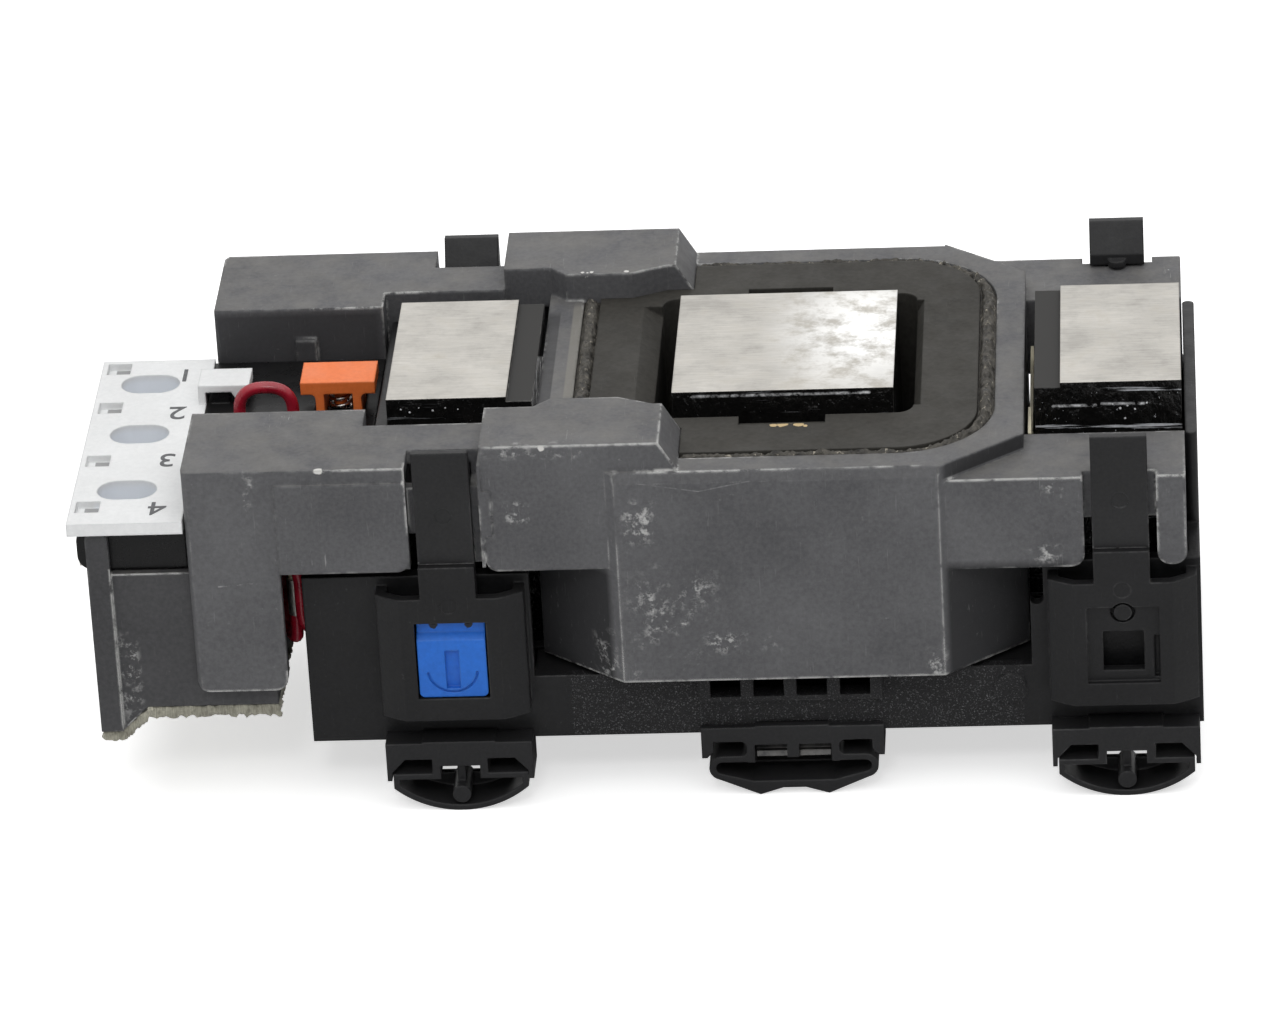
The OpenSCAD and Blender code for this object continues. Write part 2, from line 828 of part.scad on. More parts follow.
// Corner housing on the rear side, open at its top, with a plate behind the window
module housing_shell() {
    difference() {
        union() {
            translate([0, 0, housing_bottom_z])
                linear_extrude(housing_top_z - housing_bottom_z)
                    housing_plan(0);
            snap_stump();
        }
        difference() {
            translate([0, 0, housing_bottom_z + housing_floor_t])
                linear_extrude(housing_top_z)
                    intersection() {
                        housing_plan(panel_t);
                        translate([-housing_w, wall_half])
                            square([2 * housing_w, housing_w]);
                    }
            snap_stump();
            children();
        }
        rod_y(eject_r, 0, [panel_y - eject_d, panel_y + 1], window_z + window_h + 2.9);
    }
}

// Housing with room for the lock button, and a boss for its spring
module button_housing() {
    difference() {
        union() {
            housing_shell();
            rod_y(boss_r, 0, [wall_half - guide_depth - 1.2, wall_half], guide_z);
        }
        block(around(0, window_w / 2), [wall_half + 1, panel_y + 1], [window_z, window_z + window_h]);
    }
}

// Bore for the spring of the lock button, round its guide pin
module button_bore() {
    difference() {
        rod_y(guide_hole_r, 0, [wall_half - guide_depth, wall_half + 2], guide_z);
        rod_y(guide_pin_r, 0, [0, wall_half + 0.8], guide_z);
    }
}

// Housing without a button: a shallow window with a pin, a latch hole and a slot at its edge
module plain_housing() {
    difference() {
        housing_shell()
            block(around(0, window_w / 2 + 1), [recess_y - recess_t, panel_y],
                [window_z - 1, window_z + window_h + 1 + eps]);
        block(around(0, window_w / 2), [recess_y, panel_y + 1], [window_z, window_z + window_h]);
        block(around(0, latch_hole[0] / 2), [wall_half, recess_y + eps],
            [latch_z, latch_z + latch_hole[1]]);
        block([window_w / 2 - edge_slot[0], window_w / 2], [recess_y - 1, recess_y + eps],
            [window_z + 0.6, window_z + 0.6 + edge_slot[1]]);
        difference() {
            rod_y(pin_hole_r, 0, [recess_y - 1, panel_y + 1], pin_z);
            rod_y(pin_r, 0, [0, panel_y - recess_d / 2], pin_z);
        }
    }
    rod_y(pin_r, 0, [recess_y - recess_t + eps, panel_y - recess_d / 2], pin_z);
}

module foot_groove(x, y) {
    both_sides()
        along_y([y - foot_depth - 0.4, y + 1])
            translate([x, 0])
                polygon([[-tongue_root - foot_fit, base_z - 1], [-tongue_root - foot_fit, base_z],
                    [-tongue_top - foot_fit, base_z + tongue_h + foot_fit],
                    [tongue_top + foot_fit, base_z + tongue_h + foot_fit],
                    [tongue_root + foot_fit, base_z], [tongue_root + foot_fit, base_z - 1]]);
}

module carrier_side() {
    block([-carrier_left, end_x], [wall_half - wall_t, wall_half], [base_z, low_wall_z]);
    block([-carrier_left, -tall_x], [wall_half - wall_t, wall_half], [base_z, tall_wall_z]);
    block([tall_x, end_x], [wall_half - wall_t, wall_half], [base_z, tall_wall_z]);
    block([-core_half, core_half], [stack_half + room, stack_half + room + wall_t],
        [base_z, core_bottom_z + rail_h]);
    block([-block_half, block_half], [wall_half - eps, centre_block_y],
        [housing_bottom_z, low_wall_z]);
    for (x = [[-tall_x - eps, -ledge_in], [ledge_in, tall_x + eps]])
        block(x, [wall_half - wall_t - ledge_depth, wall_half - wall_t + eps],
            [low_wall_z - ledge_t, low_wall_z]);
    difference() {
        block([saddle_left, tall_x + eps], [wall_half - wall_t, wall_half], [base_z, saddle_z]);
        rod_y((tall_x - saddle_left) / 2, (tall_x + saddle_left) / 2, [0, panel_y], saddle_z + 0.3);
    }
}

// Wall at an end of the core, rounded at its two free edges
module end_wall(x) {
    half = pole_bay_half - 0.3 - end_wall_t / 2;
    block(around(x, end_wall_t / 2), around(0, wall_half), [base_z, core_bottom_z + low_end_h]);
    block(around(x, end_wall_t / 2), around(0, half), [base_z, end_wall_z]);
    both_sides()
        translate([x, half, base_z])
            cylinder(d = end_wall_t, h = end_wall_z - base_z);
}

module magnet_carrier() {
    color([0.1, 0.1, 0.1])
        difference() {
            union() {
                block([-carrier_left, end_x], [-wall_half, wall_half], [base_z, core_bottom_z]);
                both_sides()
                    carrier_side();
                end_wall(end_x - end_wall_t / 2);
                end_wall(end_wall_t / 2 - end_x);
                block([-carrier_left, wall_t - carrier_left], around(0, wall_half),
                    [base_z, core_bottom_z + low_end_h]);
                block([end_x - end_wall_t, end_x], around(0, wall_half), [base_z, tall_wall_z]);
                rod_y(mark_r, mark_x, [-wall_half - 0.3, -wall_half + eps], mark_z);
                for (x = [-corner_x, corner_x])
                    translate([x, 0, 0])
                        plain_housing();
                translate([corner_x, 0, 0])
                    mirror([0, 1, 0])
                        plain_housing();
                translate([-corner_x, 0, 0])
                    mirror([0, 1, 0])
                        button_housing();
            }
            translate([-corner_x, 0, 0])
                mirror([0, 1, 0])
                    button_bore();
            both_sides()
                for (i = [-1.5:1.5])
                    block([i * slit_pitch - slit_w / 2, i * slit_pitch + slit_w / 2],
                        [wall_half - wall_t - 1, centre_block_y + 1], [slit_z, low_wall_z + 1]);
            for (x = [-corner_x, corner_x])
                foot_groove(x, corner_foot_y);
            foot_groove(0, centre_block_y);
        }
}

// Snap arms

module snap_arm() {
    difference() {
        along_x(around(0, snap_w / 2))
            polygon([[snap_back, snap_root_z + seat], [snap_y, snap_root_z + seat],
                [snap_y, snap_top_z],
                [snap_y - hook_ridge, snap_top_z], [nose_tip, nose_z + nose_h], [nose_tip, nose_z],
                [snap_back, nose_z]]);
        rod_y(eject_r, 0, [snap_y - eject_d, snap_y + 1], (snap_root_z + snap_top_z) / 2 - 1.2);
    }
    translate([0, nose_tip, nose_z])
        cylinder(r = nub_r, h = nose_h * 0.6);
}

module placed_snap_arm(x, side) {
    color([0.12, 0.12, 0.12])
        mirror([0, side < 0 ? 1 : 0, 0])
            translate([x, 0, 0])
                snap_arm();
}

module front_left_snap_arm() {
    placed_snap_arm(-corner_x, -1);
}

module front_right_snap_arm() {
    placed_snap_arm(corner_x, -1);
}

module rear_left_snap_arm() {
    placed_snap_arm(-corner_x, 1);
}

module rear_right_snap_arm() {
    placed_snap_arm(corner_x, 1);
}

// Lock button of the front left housing, with a screwdriver slot and a half-round mark

lock_slot = [2.1, 6.4];
lock_slot_depth = 0.8;
lock_mark_r = 3.9;
lock_mark_w = 0.35;
lock_step_z = window_z + 9.8;

lock_notch_x = 2.6;
lock_notch_r = 0.55;

module lock_button() {
    half = window_w / 2 - lock_gap;
    low = window_z + lock_gap;
    high = window_z + window_h - lock_gap;
    middle = low + 4.6;
    color([0.16, 0.38, 0.7])
        difference() {
            intersection() {
                along_y([-lock_face_y, lock_t - lock_face_y])
                    translate([-corner_x, 0])
                        tongue_plate([-half, half], [low, high], 0.8, 0.8);
                along_x([-corner_x - half, half - corner_x])
                    polygon([[-lock_face_y, low], [lock_t - lock_face_y, low],
                        [lock_t - lock_face_y, high], [1.2 - lock_face_y, high],
                        [1.2 - lock_face_y, lock_step_z + 0.9], [-lock_face_y, lock_step_z]]);
            }
            block([-corner_x - lock_slot[0] / 2, lock_slot[0] / 2 - corner_x],
                [-lock_face_y - 1, lock_slot_depth - lock_face_y],
                [middle - lock_slot[1] / 2, middle + lock_slot[1] / 2]);
            intersection() {
                difference() {
                    rod_y(lock_mark_r, -corner_x, [-lock_face_y - 1, 0.3 - lock_face_y], middle);
                    rod_y(lock_mark_r - lock_mark_w, -corner_x,
                        [-lock_face_y - 2, 1 - lock_face_y], middle);
                }
                block([-corner_x - lock_mark_r, lock_mark_r - corner_x],
                    [-lock_face_y - 2, 1 - lock_face_y], [low, middle - 0.4]);
            }
            rod_y(guide_hole_r, -corner_x, [lock_t - lock_face_y - 1, 0], guide_z);
            for (x = around(-corner_x, lock_notch_x))
                rod_y(lock_notch_r, x, [-lock_face_y - 1, lock_t - lock_face_y + 1], high);
        }
}

module lock_spring() {
    start = wall_half - guide_depth;
    end = lock_face_y - lock_t + 1;
    color("silver")
        translate([-corner_x, -start - seat, guide_z])
            rotate([90, 0, 0])
                spring("lock spring", lock_spring_d, end - start - 2 * seat, lock_turns, lock_wire_d);
}

// Feet, drawn in X and Z round their own middle

foot_plate_t = 2.7;
foot_leg_z = 5.2;
lip_z = 5.5;
lip_t = 0.8;
web_x = 4.2;
web_t = 1.2;
bow_half = 10.2;
bow_rise = 3.9;
stem_t = 1.2;
stem_set = 1.8;
bulb_r = 1.4;
bulb_z = bow_t + bulb_r + 0.4;
slot_roof_z = 7.6;
foot_back_t = 1;
foot_back_z = 3.3;
bow_r = (pow(bow_half, 2) + pow(bow_rise, 2)) / (2 * bow_rise);

module bow_outline(inset) {
    intersection() {
        translate([0, bow_r])
            circle(bow_r - inset, $fn = 180);
        translate([inset - bow_half, 0])
            square([2 * (bow_half - inset), lip_z + lip_t - inset]);
    }
}

module corner_foot_outline() {
    half = housing_w / 2;
    translate([-half, foot_top_z - foot_plate_t])
        square([2 * half, foot_plate_t]);
    for (s = [0, 1])
        mirror([s, 0]) {
            polygon([[half, foot_leg_z], [half, foot_top_z - foot_plate_t + eps],
                [half - 2.8, foot_top_z - foot_plate_t + eps], [half - 0.7, foot_leg_z + 1.3],
                [half - 0.7, foot_leg_z]]);
            translate([web_x - web_t, lip_z])
                square([web_t, foot_top_z - foot_plate_t - lip_z + eps]);
        }
    translate([-web_x, slot_roof_z])
        square([2 * web_x, foot_top_z - foot_plate_t - slot_roof_z + eps]);
    difference() {
        bow_outline(0);
        bow_outline(bow_t);
        translate([web_t - web_x, lip_z - bow_t])
            square([2 * (web_x - web_t), 3]);
    }
    translate([0, bulb_z])
        circle(bulb_r);
}

// Dovetail tongue of a foot, under the carrier floor
module foot_tongue() {
    polygon([[-tongue_root, base_z - 1], [-tongue_root, base_z], [-tongue_top, base_z + tongue_h],
        [tongue_top, base_z + tongue_h], [tongue_root, base_z], [tongue_root, base_z - 1]]);
}

// A foot on the rear side: its front lies before the wall, its back under the floor
module foot(face) {
    difference() {
        along_y([face - foot_depth, face])
            children();
        block([-block_half - 1, block_half + 1], [0, wall_half + seat],
            [base_z - seat, foot_top_z + 1]);
    }
    along_y([face - foot_depth, face])
        foot_tongue();
}

module placed_foot(x, side) {
    color([0.13, 0.13, 0.13])
        mirror([0, side < 0 ? 1 : 0, 0])
            translate([x, 0, 0]) {
                foot(corner_foot_y)
                    corner_foot_outline();
                block(around(0, stem_t / 2), [corner_foot_y - foot_depth, corner_foot_y - stem_set],
                    [bulb_z, slot_roof_z + eps]);
                along_y(around(corner_foot_y - foot_depth + foot_back_t / 2, foot_back_t / 2))
                    intersection() {
                        bow_outline(0);
                        translate([-bow_half, 0])
                            square([2 * bow_half, foot_back_z]);
                    }
            }
}

module front_left_foot() {
    placed_foot(-corner_x, -1);
}

module front_right_foot() {
    placed_foot(corner_x, -1);
}

module rear_left_foot() {
    placed_foot(-corner_x, 1);
}

module rear_right_foot() {
    placed_foot(corner_x, 1);
}

// Centre foot with two slots over a corrugated strip and a wavy bow

centre_plate_t = 2.4;
centre_leg_z = 6.4;
centre_web_x = 7;
centre_bow_half = centre_foot_w / 2 - 1;
centre_bow_t = 1;
bow_end_r = 2;
bow_top_z = 6.6;
pocket_r = 0.9;
centre_rib_half = 0.9;
centre_slot_z = 8.5;
strip_half = 5.6;
centre_bow_z = 2.3;

// Bow of the centre foot, with round ends
module centre_bow(half, end_r, top) {
    for (s = [-1, 1])
        translate([s * (half - end_r), top - end_r])
            circle(end_r);
    translate([end_r - half, top - end_r])
        square([2 * (half - end_r), end_r]);
}

module centre_bow_outer() {
    h = centre_bow_half;
    centre_bow(h, bow_end_r, bow_top_z);
    polygon([[bow_end_r - h, bow_top_z - bow_end_r], [1.3 - h, bow_top_z - 2 * bow_end_r + 0.15],
        [-5.2, 0], [-1.7, 1.1], [1.7, 1.1], [5.2, 0],
        [h - 1.3, bow_top_z - 2 * bow_end_r + 0.15], [h - bow_end_r, bow_top_z - bow_end_r]]);
}

module centre_bow_inner() {
    h = centre_bow_half - centre_bow_t;
    r = bow_end_r - centre_bow_t;
    z = bow_top_z - centre_bow_t;
    centre_bow(h, r, z);
    polygon([[r - h, z - r], [0.6 - h, z - 2 * r + 0.06], [-6.2, centre_bow_z],
        [6.2, centre_bow_z], [h - 0.6, z - 2 * r + 0.06], [h - r, z - r]]);
}

// Fillet in a corner that opens to the right and upwards
module corner_fillet(r) {
    difference() {
        translate([-eps, -eps])
            square(r + eps);
        translate([r, r])
            circle(r);
    }
}

module centre_foot_outline() {
    half = centre_foot_w / 2;
    roof = foot_top_z - centre_plate_t;
    translate([-half, roof])
        square([2 * half, centre_plate_t]);
    for (s = [0, 1])
        mirror([s, 0]) {
            polygon([[half, centre_leg_z], [half, roof + eps], [half - 1.8, roof + eps],
                [half - 1.8, roof - 1.6], [half - 0.8, centre_leg_z]]);
            translate([centre_web_x - web_t, 5.5 - eps])
                square([web_t, roof - 5.5 + 2 * eps]);
        }
    for (s = [0, 1])
        mirror([s, 0]) {
            translate([centre_web_x, bow_top_z])
                corner_fillet(pocket_r);
            translate([centre_web_x, roof])
                mirror([0, 1])
                    corner_fillet(pocket_r);
        }
    translate([-centre_web_x, centre_slot_z])
        square([2 * centre_web_x, roof - centre_slot_z + eps]);
    translate([-centre_rib_half, 6.3])
        square([2 * centre_rib_half, roof - 6.3]);
    difference() {
        centre_bow_outer();
        centre_bow_inner();
        translate([web_t - centre_web_x, 5])
            square([2 * (centre_web_x - web_t), 3]);
    }
}

module placed_centre_foot(side) {
    color([0.13, 0.13, 0.13])
        mirror([0, side < 0 ? 1 : 0, 0]) {
            difference() {
                foot(centre_block_y)
                    centre_foot_outline();
                block(around(0, strip_half + 0.2), [0, centre_block_y - 1.6],
                    [centre_bow_z, centre_slot_z - eps]);
            }
            along_y(around(centre_block_y - foot_depth + foot_back_t / 2, foot_back_t / 2))
                centre_bow_outer();
        }
}

module front_centre_foot() {
    placed_centre_foot(-1);
}

module rear_centre_foot() {
    placed_centre_foot(1);
}

wave_pitch = 1.4;
wave_h = 0.5;
strip_steel = 0.5;
ridges = 2.5;

// Ridges down the front of the leaf, from its bend to its foot
function leaf_ridges(y, z) = [for (i = [0:4 * ridges])
    [y - wave_h / 2 * (1 - cos(90 * i)), z - i * wave_pitch / 4]];

// Ribbed spring leaf: a flat top under the roof of the foot, bent down behind its front
module foot_spring_strips() {
    top = centre_slot_z - seat;
    face = centre_block_y - 1.6 - seat;
    rear = centre_block_y - foot_depth + foot_back_t + seat;
    color("silver")
        both_sides()
            along_x(around(0, strip_half))
                polygon(concat([[rear, top]], leaf_ridges(face, top),
                    reversed(leaf_ridges(face - strip_steel, top - strip_steel)),
                    [[rear, top - strip_steel]]));
}

// Terminal parts

// Underside of the terminal housing, lowered by a given drop
function sole(drop) = [[-housing_left, post_bottom - drop],
    [post_w - housing_left, post_bottom - drop], [-sole_bend, bottom_step - drop],
    [-housing_right, bottom_step - drop]];
module sole_layer(upper, lower) {
    polygon(concat(sole(lower), reversed(sole(upper))));
}

module housing_side() {
    polygon(concat(sole(0), [[-housing_right, housing_top], [-housing_left, housing_top]]));
}

module terminal_housing() {
    color([0.25, 0.25, 0.26])
        difference() {
            housing_walls();
            block([-guide_left - room, 0], [-guide_front - room, housing_rear + 1],
                [guide_bottom_z - room, block_z]);
        }
}

module housing_walls() {
        along_y([-housing_front, housing_rear])
            sole_layer(-sole_t, 0);
        along_y([-housing_front, housing_t - housing_front])
            housing_side();
        along_y([housing_rear - housing_t, housing_rear])
            housing_side();
        block([-housing_left, housing_t - housing_left], [-housing_front, housing_rear],
            [post_bottom, housing_top]);
        along_y([-housing_front - 0.6, -block_front - room])
            translate([0, post_top + post_bottom])
                mirror([0, 1])
                    tongue_plate([-housing_left, post_w - housing_left], [post_bottom, post_top],
                        0.8, 0.8);
}

module felt_pad() {
    color([0.62, 0.58, 0.45])
        along_y([-housing_front, housing_rear])
            sole_layer(seat, felt_t);
}

module oval_plan(grow) {
    for (s = [-1, 1])
        translate([s * (oval_len - oval_w) / 2, 0])
            circle(oval_w / 2 + grow);
    translate([(oval_w - oval_len) / 2, -oval_w / 2 - grow])
        square([oval_len - oval_w, oval_w + 2 * grow]);
}

module label_plate() {
    color("whitesmoke")
        difference() {
            union() {
                block([-label_left, -guide_left], [-label_front, label_rear],
                    [label_bottom_z, label_z]);
                for (y = ovals)
                    translate([oval_x, y, label_bottom_z - collar_h])
                        linear_extrude(collar_h + eps)
                            oval_plan(collar_t);
                along_y(around(clip_y, clip_w / 2))
                    translate([-guide_left, clip_top_z])
                        polygon([[-clip_t, clip_top_drop - eps], [-clip_t, 0], [clip_len, 0],
                            [clip_len, 1 - nib_h], [clip_len - 0.8, -nib_h],
                            [clip_len - nib_w, -nib_h], [clip_len - nib_w - 0.8, -clip_t],
                            [0, -clip_t], [0, clip_top_drop - eps]]);
            }
            for (y = ovals)
                translate([oval_x, y, label_bottom_z - collar_h - 1])
                    linear_extrude(collar_h + label_t + 2)
                        oval_plan(0);
            for (y = squares) {
                block(around(square_x, square_hole / 2), around(y, square_hole / 2),
                    [label_z - shelf_d, label_z + 1]);
                block(around(square_x, square_hole / 2), [y - square_hole / 2, y],
                    [label_bottom_z - 1, label_z]);
            }
        }
}

module terminal_block_solid() {
    along_y([-block_front, block_rear])
        intersection() {
            tongue_plate([-block_end, -guide_left], [block_bottom_z, block_top_z], block_end_r, 0);
            translate([0, block_bottom_z + block_top_z])
                mirror([0, 1])
                    tongue_plate([-block_end, -guide_left], [block_bottom_z, block_top_z],
                        block_end_r, 0);
        }
    block([-guide_left - eps, -guide_right], [-guide_front, guide_rear],
        [guide_bottom_z, block_top_z]);
    block([seat - guide_left, -guide_right], [-guide_front, guide_rear],
        [block_top_z - eps, guide_top_z]);
    block([0.6 - guide_left, clip_len - guide_left - nib_w - 1.2], around(clip_y, clip_w / 2 - 0.6),
        [guide_top_z - eps, clip_top_z - clip_t - seat]);
}

module terminal_block() {
    plate_z = block_top_z - block_plate;
    guide_plate_z = guide_top_z - block_plate;
    color([0.09, 0.09, 0.1])
        difference() {
            terminal_block_solid();
            block([-hollow_x, -guide_left], [block_wall - block_front, block_rear - block_wall],
                [0, plate_z]);
            difference() {
                block([-guide_left - 1, -guide_right - block_wall],
                    [block_wall - guide_front, guide_rear - block_wall], [0, plate_z]);
                block(around(plunger_x, seat_half), around(plunger_y, bridge_half),
                    [spring_seat_z - seat_t, block_z]);
            }
            difference() {
                block([block_wall - guide_left, -guide_right - block_wall],
                    [block_wall - guide_front, guide_rear - block_wall], [0, guide_plate_z]);
                block(around(plunger_x, seat_half), around(plunger_y, bridge_half),
                    [spring_seat_z - seat_t, block_z]);
            }
            for (y = ovals)
                translate([oval_x, y, block_top_z - collar_h - 0.3])
                    linear_extrude(block_z)
                        oval_plan(collar_t + 0.3);
            for (y = squares) {
                block([-block_end - 1, square_x + square_hole / 2], around(y, pocket_w / 2),
                    [0, strip_z + cage[2]]);
                block(around(square_x, square_hole / 2), around(y, square_hole / 2), [0, block_z]);
                block([square_x, seat - strip_end], around(y, strip_w / 2 + seat),
                    [0, strip_z + strip_t + seat]);
            }
            for (s = [-1, 1])
                block(around(plunger_x + s * (leg_x - plunger_leg_t / 2), plunger_leg_t / 2 + room),
                    around(plunger_y, head_depth / 2 + room), [0, block_z]);
            for (x = loop_ends)
                translate([x, loop_y, 0])
                    cylinder(r = lead_d / 2 + 0.25, h = block_z);
            translate([plunger_x, plunger_y, spring_seat_z])
                cylinder(r = spring_d / 2 + 0.25, h = block_z);
        }
}

module terminal_clamps() {
    color("silver")
        for (y = squares)
            translate([square_x, y, strip_z - seat])
                difference() {
                    block(around(0, cage[0] / 2), around(0, cage[1] / 2), [-cage_t, cage[2] - cage_t]);
                    block(around(0, cage[0]), around(0, cage[1] / 2 - cage_t),
                        [0, cage[2] - 2 * cage_t]);
                }
}

module coil_terminals() {
    color("goldenrod")
        for (y = [squares[2], squares[3]])
            block([square_x - cage[0] / 2, -strip_end], around(y, strip_w / 2),
                [strip_z, strip_z + strip_t]);
}

// Strip of an auxiliary contact: out of its clamp, down a step and along to the plunger
module contact_strip(y, y_contact) {
    w = strip_w / 2;
    block([square_x - cage[0] / 2, -strip_end], around(y, w), [strip_z, strip_z + strip_t]);
    block([-strip_end - strip_t, -strip_end], [min(y, y_contact) - w, max(y, y_contact) + w],
        [strip_z, strip_z + strip_t]);
    block([-strip_end - strip_t, -strip_end], around(y_contact, w),
        [contact_z - strip_t, strip_z + strip_t]);
    block([-strip_end - eps, plunger_x + bridge_w / 2], around(y_contact, w),
        [contact_z - strip_t, contact_z]);
}

module fixed_contacts() {
    reach = bridge_half - strip_w / 2;
    color("goldenrod") {
        contact_strip(squares[0], plunger_y + reach);
        contact_strip(squares[1], plunger_y - reach);
    }
}

// Plunger, its bridge and its spring

module aux_plunger() {
    color([0.95, 0.5, 0.25])
        translate([plunger_x, plunger_y, 0]) {
            along_y([-head_depth / 2, head_depth / 2]) {
                translate([-head_len / 2, plunger_z - head_t])
                    square([head_len, head_t]);
                for (s = [0, 1])
                    mirror([s, 0]) {
                        translate([leg_x - plunger_leg_t, plunger_leg_z])
                            square([plunger_leg_t, plunger_z - plunger_leg_z]);
                        difference() {
                            translate([leg_x - eps, plunger_z - head_t - leg_fillet])
                                square([leg_fillet, leg_fillet + eps]);
                            translate([leg_x + leg_fillet, plunger_z - head_t - leg_fillet])
                                circle(leg_fillet);
                        }
                    }
                translate([-leg_x, plunger_leg_z])
                    square([2 * leg_x, crossbar_t]);
            }
            translate([0, 0, plunger_z - head_t - 3.6])
                cylinder(r = core_pin_r, h = 4);
        }
}

module bridge_contact() {
    z = plunger_leg_z + crossbar_t;
    color("goldenrod")
        block(around(plunger_x, bridge_w / 2), around(plunger_y, bridge_half), [z, z + bridge_t]);
}

module aux_spring() {
    color("silver")
        translate([plunger_x, plunger_y, spring_seat_z + seat])
            spring("plunger spring", spring_d, spring_top_z - spring_seat_z - seat, spring_turns, wire_d);
}

// Leads

module loop_lead() {
    color([0.72, 0.08, 0.14])
        tube(rounded_route(loop_corners, loop_bends), lead_d, 8, [0, 1, 0]);
}

module short_lead() {
    color([0.72, 0.08, 0.14])
        tube(rounded_route(short_corners, short_bends), lead_d, 8, [0, 1, 0]);
}

// Crimps join the leads to the sleeved ends of the winding
module lead_crimps() {
    color("silver") {
        translate(crimp_a)
            cylinder(d = crimp_d, h = crimp_len);
        translate(crimp_b)
            rotate([0, 90, 0])
                cylinder(d = crimp_d, h = crimp_len);
    }
}

module lead_sleeves() {
    color("beige") {
        tube(rounded_route(sleeve_a_corners, sleeve_a_bends), sleeve_d, 8, [0, 1, 0]);
        tube(rounded_route(sleeve_b_corners, sleeve_b_bends), sleeve_d, 8, [0, 1, 0]);
    }
}

magnet_carrier();
magnet_core();
core_rivets();
coil_casing();
coil_bobbin();
coil_winding();
potting_bead();
insulation_sheet();
front_left_snap_arm();
front_right_snap_arm();
rear_left_snap_arm();
rear_right_snap_arm();
lock_button();
lock_spring();
front_left_foot();
front_right_foot();
rear_left_foot();
rear_right_foot();
front_centre_foot();
rear_centre_foot();
foot_spring_strips();
terminal_housing();
terminal_block();
label_plate();
felt_pad();
terminal_clamps();
coil_terminals();
fixed_contacts();
aux_plunger();
bridge_contact();
aux_spring();
loop_lead();
short_lead();
lead_crimps();
lead_sleeves();
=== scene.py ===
import math

import bpy
from mathutils import Matrix, Vector, kdtree, noise


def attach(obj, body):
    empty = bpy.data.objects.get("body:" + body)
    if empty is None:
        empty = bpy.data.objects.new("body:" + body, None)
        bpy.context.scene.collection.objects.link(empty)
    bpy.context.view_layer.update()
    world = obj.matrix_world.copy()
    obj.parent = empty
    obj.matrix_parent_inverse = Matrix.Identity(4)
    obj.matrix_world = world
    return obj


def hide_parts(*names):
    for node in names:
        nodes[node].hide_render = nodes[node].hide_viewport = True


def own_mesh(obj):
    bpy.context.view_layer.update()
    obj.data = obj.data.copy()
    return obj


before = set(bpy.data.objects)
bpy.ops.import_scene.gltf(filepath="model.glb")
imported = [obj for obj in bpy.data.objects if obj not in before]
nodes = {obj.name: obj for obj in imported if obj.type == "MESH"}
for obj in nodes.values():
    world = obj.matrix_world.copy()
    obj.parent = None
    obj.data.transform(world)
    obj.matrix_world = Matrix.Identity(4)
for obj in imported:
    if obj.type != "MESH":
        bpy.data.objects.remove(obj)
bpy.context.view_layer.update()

scene = bpy.context.scene
scene.view_settings.view_transform = "Standard"
print("frame loaded:", len(nodes), "nodes")

# camera: long lens from the front, a little to the right, tilted as the photo is
shot = {"place": (0.06006, -1.13309, 0.60933), "yaw": 4.224, "pitch": 27.0, "roll": -3.321,
        "lens": 233.75, "sensor": 36.0, "clip": (0.05, 20.0)}


def addCamera(values):
    yaw, pitch, roll = (math.radians(values[key]) for key in ("yaw", "pitch", "roll"))
    forward = Vector((-math.sin(yaw) * math.cos(pitch), math.cos(yaw) * math.cos(pitch),
                      -math.sin(pitch)))
    right = Vector((math.cos(yaw), math.sin(yaw), 0))
    down = forward.cross(right)
    tiltedRight = right * math.cos(roll) - down * math.sin(roll)
    tiltedDown = right * math.sin(roll) + down * math.cos(roll)
    turn = Matrix((tiltedRight, -tiltedDown, -forward)).transposed()
    data = bpy.data.cameras.new("shotCamera")
    data.lens, data.sensor_width = values["lens"], values["sensor"]
    data.clip_start, data.clip_end = values["clip"]
    camera = bpy.data.objects.new("shotCamera", data)
    camera.matrix_world = Matrix.Translation(values["place"]) @ turn.to_4x4()
    scene.collection.objects.link(camera)
    scene.camera = camera


addCamera(shot)

# node helpers: an input is a socket to link or a value to set
socketType = bpy.types.NodeSocket
noiseBand = (0.3, 0.7)
white = (1.0, 1.0, 1.0, 1.0)


def addNode(tree, kind, inputs=None, **settings):
    node = tree.nodes.new(kind)
    for key, value in settings.items():
        setattr(node, key, value)
    for key, value in (inputs or {}).items():
        if isinstance(value, socketType):
            tree.links.new(value, node.inputs[key])
        else:
            node.inputs[key].default_value = value
    return node


def startGroup(name, inputs, outputs):
    group = bpy.data.node_groups.new(name, "ShaderNodeTree")
    for label, value in inputs:
        socket = group.interface.new_socket(label, in_out="INPUT", socket_type="NodeSocketFloat")
        socket.default_value = value
    for label, kind in outputs:
        group.interface.new_socket(label, in_out="OUTPUT", socket_type="NodeSocket" + kind)
    given = group.nodes.new("NodeGroupInput").outputs
    return group, given, group.nodes.new("NodeGroupOutput").inputs


def piecePlace(tree):
    return tree.nodes.new("ShaderNodeTexCoord").outputs["Object"]


def mathNode(tree, operation, a, b=0.0, c=0.0, clamp=False):
    node = addNode(tree, "ShaderNodeMath", {0: a, 1: b, 2: c}, operation=operation, use_clamp=clamp)
    return node.outputs[0]


def times(tree, first, *factors):
    for factor in factors:
        first = mathNode(tree, "MULTIPLY", first, factor)
    return first


def most(tree, masks):
    top = masks[0]
    for mask in masks[1:]:
        top = mathNode(tree, "MAXIMUM", top, mask)
    return top


def weigh(tree, a, share, b):
    return mathNode(tree, "MULTIPLY_ADD", a, share, times(tree, b, 1 - share))


def atLeast(tree, mask, least):
    return mathNode(tree, "MULTIPLY_ADD", mask, 1 - least, least)


